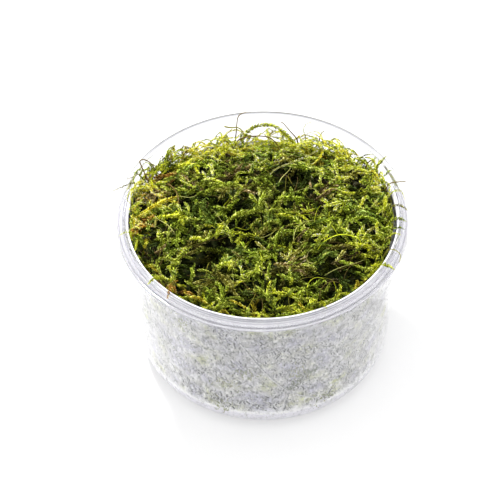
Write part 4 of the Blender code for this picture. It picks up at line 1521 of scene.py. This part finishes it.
def lay_singles(pile, count, shoots, lift, depth, dice, lengths, spread=0.9, rise=0.0, width=(0.85, 1.1)):
    """Single shoots, spread evenly over the mat."""
    for number in range(count):
        spot, start, heading, length = across_spot(number, count, spread, 0.5, lengths, dice)
        height = lift + dice.uniform(-0.4, 0.4) * MM
        line = lying_line(*start, heading, length, height, dice, rise * dice.random() ** 2)
        if depth < 0.3 and sunken(line, dice):
            continue
        tint = pick_tint(*spot, depth, dice)
        lay(pile, shoots, line, tint, dice, dice.uniform(*width), 0.9, 1.0 - depth)


def lay_sprays(pile, count, lift, depth, dice, lengths=(8.0, 13.0), spread=0.7, rise=1.0 * MM):
    """Feathery sprays: a main plume, with sprigs to its left and right."""
    for number in range(count):
        spot, start, heading, length = across_spot(number, count, spread, 0.45, lengths, dice)
        height = lift + dice.uniform(-0.5, 0.6) * MM
        main = lying_line(*start, heading, length, height, dice, rise * dice.random())
        if depth < 0.6 and sunken(main, dice):
            continue
        tint = pick_tint(*spot, depth, dice)
        lay(pile, plumes, main, tint, dice, dice.uniform(0.9, 1.1), 0.4, 1.0 - depth)
        side = 1.0 if dice.random() < 0.5 else -1.0
        for knot in range(2, len(main) - 2, 2):
            share = knot / (len(main) - 1)
            side = -side
            along = main[knot + 1] - main[knot - 1]
            aside = math.atan2(along[1], along[0]) + side * dice.uniform(0.6, 1.05)
            reach = dice.uniform(3.0, 6.2) * MM * (1.15 - 0.6 * share)
            above = main[knot, 2] - mat_top(main[knot, 0], main[knot, 1])
            sprig = lying_line(main[knot, 0], main[knot, 1], aside, reach, above, dice, 0.0, 0.3 * MM)
            if depth < 0.6 and sunken(sprig, dice):
                continue
            sprig_tint = tint * dice.uniform(0.8, 1.2)
            lay(pile, sprigs, sprig, sprig_tint, dice, dice.uniform(0.85, 1.05), 0.5, 1.0 - depth)


test_spots = [even_spot(number, 50, random.Random(number)) for number in range(50)]
print("the outermost of 50 test spots lies", round(max(map(math.hypot, *zip(*test_spots))) / MM, 1), "mm out")


# %% [markdown]
# ## The fringe
#
# Round the edge the shoots turn up along the wall, and at the back they hang out over the gel. They get
# the most light, so their tints are raised with painted light, for the light that shines through them from
# behind, and they are the limest of all. Long thin ones at the back arch over in loops. A few thin ones at
# the sides climb over the cup's inner edge and lie on its lip.

# %% The fringe's routes
BACK_LOOP_HALF_ANGLE = math.radians(78.0)
OVER_RIM_STATIONS = [(0.0, 0.0, 47.4), (0.3, 1.2, 49.4), (0.7, 2.2, 50.9), (1.1, 3.0, 51.4)]
OVER_RIM_END = (1.6, 51.2)


def fringe_line(root, heading, length, start, climb, arch, swing):
    """A route from the root: it climbs, arches over by a height, and swings to a side."""
    line = []
    spot = np.array(root)
    steps = 8
    for index in range(steps + 1):
        share = index / steps
        height = start + length * 0.8 * math.tan(climb) * share + arch * math.sin(math.pi * share)
        line.append((spot[0], spot[1], max(height, gel_top(spot[1]) + 0.5 * MM)))
        turned_by = heading + swing * share
        spot = spot + 0.9 * length / steps * np.array((math.cos(turned_by), math.sin(turned_by)))
    return np.array(line)


def lay_back_loops(pile, count, dice):
    """Long thin shoots at the back that arch up out of the edge and come down in it again."""
    for number in range(count):
        around = math.pi / 2 + BACK_LOOP_HALF_ANGLE * (2.0 * (number + dice.random()) / count - 1.0)
        outward = np.array((math.cos(around), math.sin(around)))
        root = outward * (mat_radius(*outward) - dice.uniform(-0.8, 2.4) * MM)
        start = mat_top(*root) + dice.uniform(-1.0, 0.4) * MM
        heading = around + dice.choice((-1.0, 1.0)) * dice.uniform(0.5, 1.9)
        length, arch = dice.uniform(6.0, 12.0), dice.uniform(0.8, 3.6)
        climb, swing = dice.uniform(-0.1, 0.25), dice.gauss(0.0, 1.3)
        line = fringe_line(root, heading, length * MM, start, climb, arch * MM, swing)
        # Painted light: the gain stands for light shining through the loops from behind.
        tint = np.array(pick(BACK_RIM, dice)) * dice.uniform(1.3, 2.8)
        shoots = sprigs if dice.random() < 0.6 else plumes
        lay(pile, shoots, keep_apart(line), tint, dice, dice.uniform(0.45, 0.75))


def lay_over_rim(pile, count, dice):
    """At the sides, shoots climb over the cup's inner edge and lie on its lip."""
    for number in range(count):
        side = 1.0 if number % 5 == 0 else -1.0
        around = math.pi / 2 + side * math.radians(dice.uniform(48.0, 68.0 if side > 0.0 else 108.0))
        outward = np.array((math.cos(around), math.sin(around)))
        along = np.array((-outward[1], outward[0])) * dice.gauss(0.0, 1.5) * MM
        root_radius = mat_radius(*outward) - dice.uniform(1.0, 2.6) * MM
        line = [
            (*(outward * (root_radius + reach * MM) + along * share), (height + dice.gauss(0.0, 0.2)) * MM)
            for share, reach, height in OVER_RIM_STATIONS
        ]
        share, height = OVER_RIM_END
        tip_radius = root_radius + dice.uniform(3.4, 4.6) * MM
        line.append((*(outward * tip_radius + along * share), height * MM))
        tint = np.array(pick(OVER_RIM, dice)) * dice.uniform(0.9, 1.6)
        lay(pile, sprigs, np.array(line), tint, dice, dice.uniform(0.4, 0.7), over_lip=True)


def lay_fringe(pile, count, dice):
    """Shoots at the mat's edge: some lie along it in low arches, and some reach out of it in tufts."""
    for number in range(count):
        around = math.tau * (number + dice.uniform(-0.5, 0.5)) / count
        outward = np.array((math.cos(around), math.sin(around)))
        tuft = 0.9 + 0.9 * noise.noise(Vector((outward[0], outward[1], 0.0)) * 5.0)
        root = outward * (mat_radius(*outward) - dice.uniform(0.3, 2.8) * MM)
        start = mat_top(*root) + dice.uniform(-1.8, 0.1) * MM
        kind = dice.random()
        if kind < 0.45:
            heading = around + dice.choice((-1.0, 1.0)) * dice.uniform(1.1, 2.0)
            length, climb = dice.uniform(4.5, 9.0), dice.uniform(-0.15, 0.15)
            arch = dice.uniform(0.3, 2.2) * tuft
        elif kind < 0.85:
            heading = around + dice.gauss(0.0, 0.9)
            length, climb = dice.uniform(3.0, 5.5), dice.uniform(-0.3, 0.5) * tuft
            arch = dice.uniform(0.0, 1.4)
        else:
            heading = around + dice.gauss(0.0, 1.5)
            length, climb = dice.uniform(2.5, 4.2) * tuft, dice.uniform(0.4, 0.8)
            arch = dice.uniform(0.0, 1.0)
        line = fringe_line(root, heading, length * MM, start, climb, arch * MM, dice.gauss(0.0, 1.2))
        usual_rim, most_light = (BACK_RIM, 2.6) if outward[1] > 0.3 else (RIM, 1.8)
        weights = patch_at(*root, usual_rim if dice.random() < 0.85 else USUAL, dice)
        # Painted light: the gain stands for light shining through the fringe, most at the back.
        tint = np.array(pick(weights, dice)) * dice.uniform(0.9, most_light)
        shoots = sprigs if dice.random() < 0.5 else bushy_shoots
        lay(pile, shoots, keep_apart(line), tint, dice, dice.uniform(0.6, 0.95), 1.0)


print("over-rim shoots start", OVER_RIM_STATIONS[0][2], "mm up and end", OVER_RIM_END[1], "mm up")

# %% [markdown]
# ## The layers, one on another
#
# The layers are laid from the bottom up. Each lies at its own height against the cushion's top, and the
# deeper it lies the darker it gets: its shoots are older, and they carry painted shade from the layers
# above. Each is a piece of its own, which keeps every piece light enough. Bare brown and olive stems are
# strewn over them last.

# %% The tangle's layers
LAYER_NAMES = (
    "stray_stems", "lower_shoots", "middle_sprays_under", "middle_sprays_over", "upper_sprays",
    "short_tips", "fringe_shoots", "back_loops", "shoots_over_rim",
)
layers = {name: Pile() for name in LAYER_NAMES}
dice = random.Random(11)
lay_singles(layers["lower_shoots"], 280, bushy_shoots, -1.7 * MM, 0.9, dice, (7.0, 9.0), spread=1.2)
lay_sprays(layers["middle_sprays_under"], 80, -1.1 * MM, 0.8, dice)
lay_sprays(layers["middle_sprays_over"], 80, -0.6 * MM, 0.55, dice)
lay_sprays(layers["upper_sprays"], 120, 0.2 * MM, 0.0, dice)
lay_singles(
    layers["short_tips"], 420, bushy_shoots, 0.4 * MM, 0.0, dice, (3.5, 6.0), 1.4, 2.0 * MM, (0.7, 0.95)
)
lay_fringe(layers["fringe_shoots"], 400, dice)
lay_back_loops(layers["back_loops"], 160, dice)
lay_over_rim(layers["shoots_over_rim"], 10, dice)

STRAY_STEMS = 130
STRAY_TINTS = {"olive": 4, "brown": 4, "lime": 1, "pale": 1}
stem_rods = {
    length: rod_template(length * MM, STEM_RADIUS, 9, 3, 0.5) for length in (6, 9, 12)
}
for number in range(STRAY_STEMS):
    x, y = even_spot(number, STRAY_STEMS, dice)
    heading = dice.gauss(HEADING, 1.3)
    length, lift = dice.uniform(5.0, 12.0) * MM, dice.uniform(0.5, 1.5) * MM
    line = lying_line(x, y, heading, length, lift, dice, 0.0, 0.7 * MM, 1.4)
    rod = nearest(stem_rods, route_length_mm(line) * MM)
    tint = np.array(pick(STRAY_TINTS, dice)) * dice.uniform(0.6, 1.3)
    points = press_to_wall(bent(rod, line, dice.uniform(0.6, 1.0)))
    layers["stray_stems"].add(rod, points, tint)

for name, pile in layers.items():
    layer = pile.piece(name, moss_finish, "moss")
    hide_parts("moss_mat")

# %% [markdown]
# ## Loose shoots and bare stems
#
# Twenty-nine shoots and stems can be told apart in the photograph. Each keeps the route of its solid:
# a few given stations in millimetres, with a smooth curve through them. This list gives each
# one's name, its kind, its tint and its stations.

# %% Routes of the loose shoots
LOOSE_SHOOTS = [
    ("looping_shoot", "leafy", "lime",
     [(-5.6, 32.0, 42.6), (-4.9, 32.9, 46.4), (-2.6, 33.5, 49.4), (0.6, 33.6, 50.4), (3.4, 33.2, 50.4),
      (6.2, 31.2, 49.9), (8.6, 29.2, 48.4), (9.6, 28.4, 45.6), (9.4, 27.4, 43.4)]),
    ("arched_stem", "bare", "brown",
     [(-8.2, 31.0, 43.0), (-6.4, 32.2, 46.0), (-2.4, 31.9, 47.7), (2.2, 31.4, 47.6), (4.6, 30.2, 45.4),
      (5.2, 29.2, 43.2)]),
    ("curly_stem", "bare", "brown",
     [(-7.6, 33.0, 42.8), (-7.2, 34.5, 45.8), (-6.9, 35.2, 49.0), (-6.6, 35.6, 51.4), (-5.6, 35.9, 52.7),
      (-4.2, 36.1, 53.0)]),
    ("cross_stem", "bare", "olive",
     [(-10.4, 34.0, 49.6), (-8.6, 34.0, 49.1), (-6.8, 33.9, 49.3), (-5.4, 33.4, 48.4), (-4.9, 31.6, 47.9)]),
    ("thorny_stem", "bare", "brown",
     [(10.6, 30.9, 43.4), (9.9, 31.8, 46.4), (8.2, 32.6, 48.6), (6.2, 33.9, 50.6), (5.4, 34.0, 51.1)]),
    ("pale_arc", "leafy", "pale",
     [(12.6, 31.8, 42.6), (12.3, 32.9, 46.0), (11.8, 33.0, 49.2), (12.8, 33.2, 51.2), (15.2, 33.0, 52.2)]),
    ("stub_stem", "bare", "olive",
     [(16.0, 29.9, 42.8), (16.2, 31.2, 45.9), (16.8, 31.9, 48.4), (17.6, 31.7, 49.6)]),
    ("back_pale_tip", "leafy", "pale",
     [(20.2, 26.4, 42.8), (20.6, 27.8, 45.2), (21.2, 28.6, 47.8)]),
    ("hooked_stem", "bare", "olive",
     [(23.6, 22.0, 43.6), (24.0, 22.0, 47.2), (24.5, 21.9, 49.6), (25.6, 21.9, 50.4), (26.4, 22.0, 49.8)]),
    ("looped_stem", "bare", "brown",
     [(28.2, 18.4, 44.0), (28.8, 19.6, 47.4), (30.2, 19.8, 49.8), (31.6, 18.2, 49.4), (32.0, 15.8, 46.4),
      (31.4, 14.8, 44.2)]),
    ("back_right_tip", "leafy", "lime",
     [(31.0, 12.4, 44.2), (31.2, 14.4, 48.4), (31.7, 16.2, 50.9), (33.2, 18.0, 51.8), (34.6, 19.6, 51.9)]),
    ("right_brown_stem", "bare", "brown",
     [(33.4, 9.2, 44.6), (34.0, 9.6, 49.2), (35.2, 10.0, 51.0), (39.3, 10.5, 51.1)]),
    ("right_pale_shoot", "leafy", "pale",
     [(33.0, 6.6, 45.0), (34.6, 7.4, 48.8), (36.6, 7.2, 51.3), (38.2, 5.8, 51.5), (38.7, 3.2, 51.3)]),
    ("right_green_tip", "leafy", "bright",
     [(33.2, -1.6, 45.2), (34.8, -2.4, 49.0), (36.6, -3.2, 51.2), (38.6, -4.6, 51.4)]),
    ("right_thin_hook", "bare", "olive",
     [(32.0, -12.6, 45.4), (33.0, -13.4, 49.4), (34.8, -14.6, 51.3), (36.4, -16.6, 51.5),
      (36.1, -18.8, 51.0)]),
    ("right_front_tuft", "leafy", "lime",
     [(29.4, -18.4, 45.6), (29.6, -18.8, 49.4), (31.0, -19.6, 51.5), (33.0, -20.6, 51.6),
      (34.9, -21.9, 51.4)]),
    ("front_tip", "leafy", "lime",
     [(14.6, -30.4, 45.8), (14.9, -31.4, 49.6), (15.6, -33.0, 51.4), (16.4, -35.0, 51.5)]),
    ("front_left_strand", "leafy", "orange",
     [(-23.4, -24.9, 45.8), (-23.6, -25.5, 49.6), (-24.4, -27.0, 51.4), (-25.1, -30.8, 51.4)]),
    ("front_left_tuft", "leafy", "lime",
     [(-26.2, -20.8, 45.8), (-27.0, -21.8, 49.4), (-28.8, -23.8, 51.4), (-30.4, -26.0, 51.5)]),
    ("left_green_tip", "leafy", "lime",
     [(-33.4, -4.6, 45.4), (-35.0, -5.6, 49.0), (-36.8, -7.2, 51.3), (-38.6, -8.6, 51.4)]),
    ("left_grey_shoot", "leafy", "olive",
     [(-32.4, 12.0, 44.4), (-32.9, 11.6, 48.8), (-34.3, 10.9, 51.2), (-36.4, 10.2, 51.6),
      (-38.8, 9.0, 51.5), (-41.4, 7.8, 51.2)]),
    ("left_thin_stem", "bare", "brown",
     [(-28.4, 16.8, 44.0), (-30.2, 16.4, 48.2), (-33.4, 14.6, 51.0), (-36.9, 12.4, 51.4)]),
    ("bent_brown_stem", "bare", "brown",
     [(-30.6, 13.8, 44.2), (-31.6, 15.0, 48.4), (-33.2, 17.2, 51.6), (-33.6, 18.4, 52.4),
      (-32.2, 18.9, 52.2), (-30.6, 18.8, 50.8), (-29.4, 18.4, 48.0), (-28.9, 18.2, 44.4)]),
    ("brown_stem_on_top", "bare", "brown",
     [(-27.2, 13.6, 45.2), (-25.8, 12.0, 49.6), (-23.4, 8.2, 50.3), (-22.8, 4.4, 49.8), (-22.9, 1.6, 46.2)]),
    ("long_pale_shoot", "leafy", "pale",
     [(1.8, 16.0, 47.4), (3.4, 17.0, 49.4), (6.7, 18.4, 49.9), (10.6, 20.3, 50.0), (13.7, 22.6, 49.6),
      (16.6, 26.0, 48.6), (18.0, 28.2, 45.2)]),
    ("bright_shoot_left", "leafy", "bright",
     [(-17.2, 8.6, 46.2), (-14.6, 9.2, 49.8), (-11.0, 10.0, 50.5), (-7.0, 10.8, 50.2), (-5.4, 11.2, 47.4)]),
    ("bright_shoot_middle", "leafy", "bright",
     [(-11.0, -2.4, 46.4), (-8.6, -1.6, 50.0), (-4.6, -0.4, 50.8), (-0.6, 0.8, 50.5), (1.4, 1.6, 47.4)]),
    ("bright_shoot_right", "leafy", "bright",
     [(13.2, -12.6, 46.4), (14.6, -10.8, 50.0), (17.0, -7.2, 50.7), (18.8, -3.8, 50.2), (19.6, -2.2, 47.6)]),
    ("thin_pale_arc", "bare", "lime",
     [(14.6, -11.0, 47.4), (16.4, -9.8, 49.6), (20.7, -8.5, 50.8), (25.2, -9.1, 50.1), (26.8, -9.8, 47.6)]),
]
print(len(LOOSE_SHOOTS), "loose shoots and stems")

# %% [markdown]
# ## Dressing the loose shoots
#
# A leafy one is a shoot template of its own length, and a bare one is a thin rod of six sides that
# tapers. Thin pale ones carry smaller and fewer leaves. Each stands for its own solid.

# %% Dressing the loose shoots
SLOT_OF_TINT = {
    "lime": "young_shoot", "bright": "young_shoot", "pale": "pale_shoot", "orange": "pale_shoot",
    "brown": "brown_stem", "olive": "moss",
}
BARE_RADIUS = 0.24 * MM
THIN_RADIUS = 0.15 * MM
LEAF_SCALES = {
    "pale_arc": (0.5, 0.3), "looping_shoot": (0.9, 0.0), "long_pale_shoot": (0.5, 0.1),
    "left_grey_shoot": (0.55, 0.3), "left_green_tip": (0.6, 0.2), "right_pale_shoot": (0.5, 0.3),
}

for seed, (name, kind, tint_name, stations) in enumerate(LOOSE_SHOOTS):
    line = smooth_route(stations)
    length_mm = route_length_mm(line)
    if kind == "leafy":
        rows = PLUME_ROWS if seed % 2 else BUSHY_ROWS
        leaf_scale, sparse = LEAF_SCALES.get(name, (0.8, 0.0))
        template = shoot_template(length_mm, rows, 100 + seed, leaf_scale, sparse=sparse)
    else:
        radius = THIN_RADIUS if "thin" in name else BARE_RADIUS
        template = rod_template(length_mm * MM, radius, max(8, round(length_mm * 2)), 6, 0.55)
    pile = Pile()
    tint = np.array(TINTS[tint_name])
    pile.add(template, bent(template, line, 1.0, 0.4 * (seed % 3)), tint, tint * 1.2)
    shoot = pile.piece("loose_" + name, moss_finish, SLOT_OF_TINT[tint_name])
    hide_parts(name)
bpy.data.meshes.remove(blade_mesh)
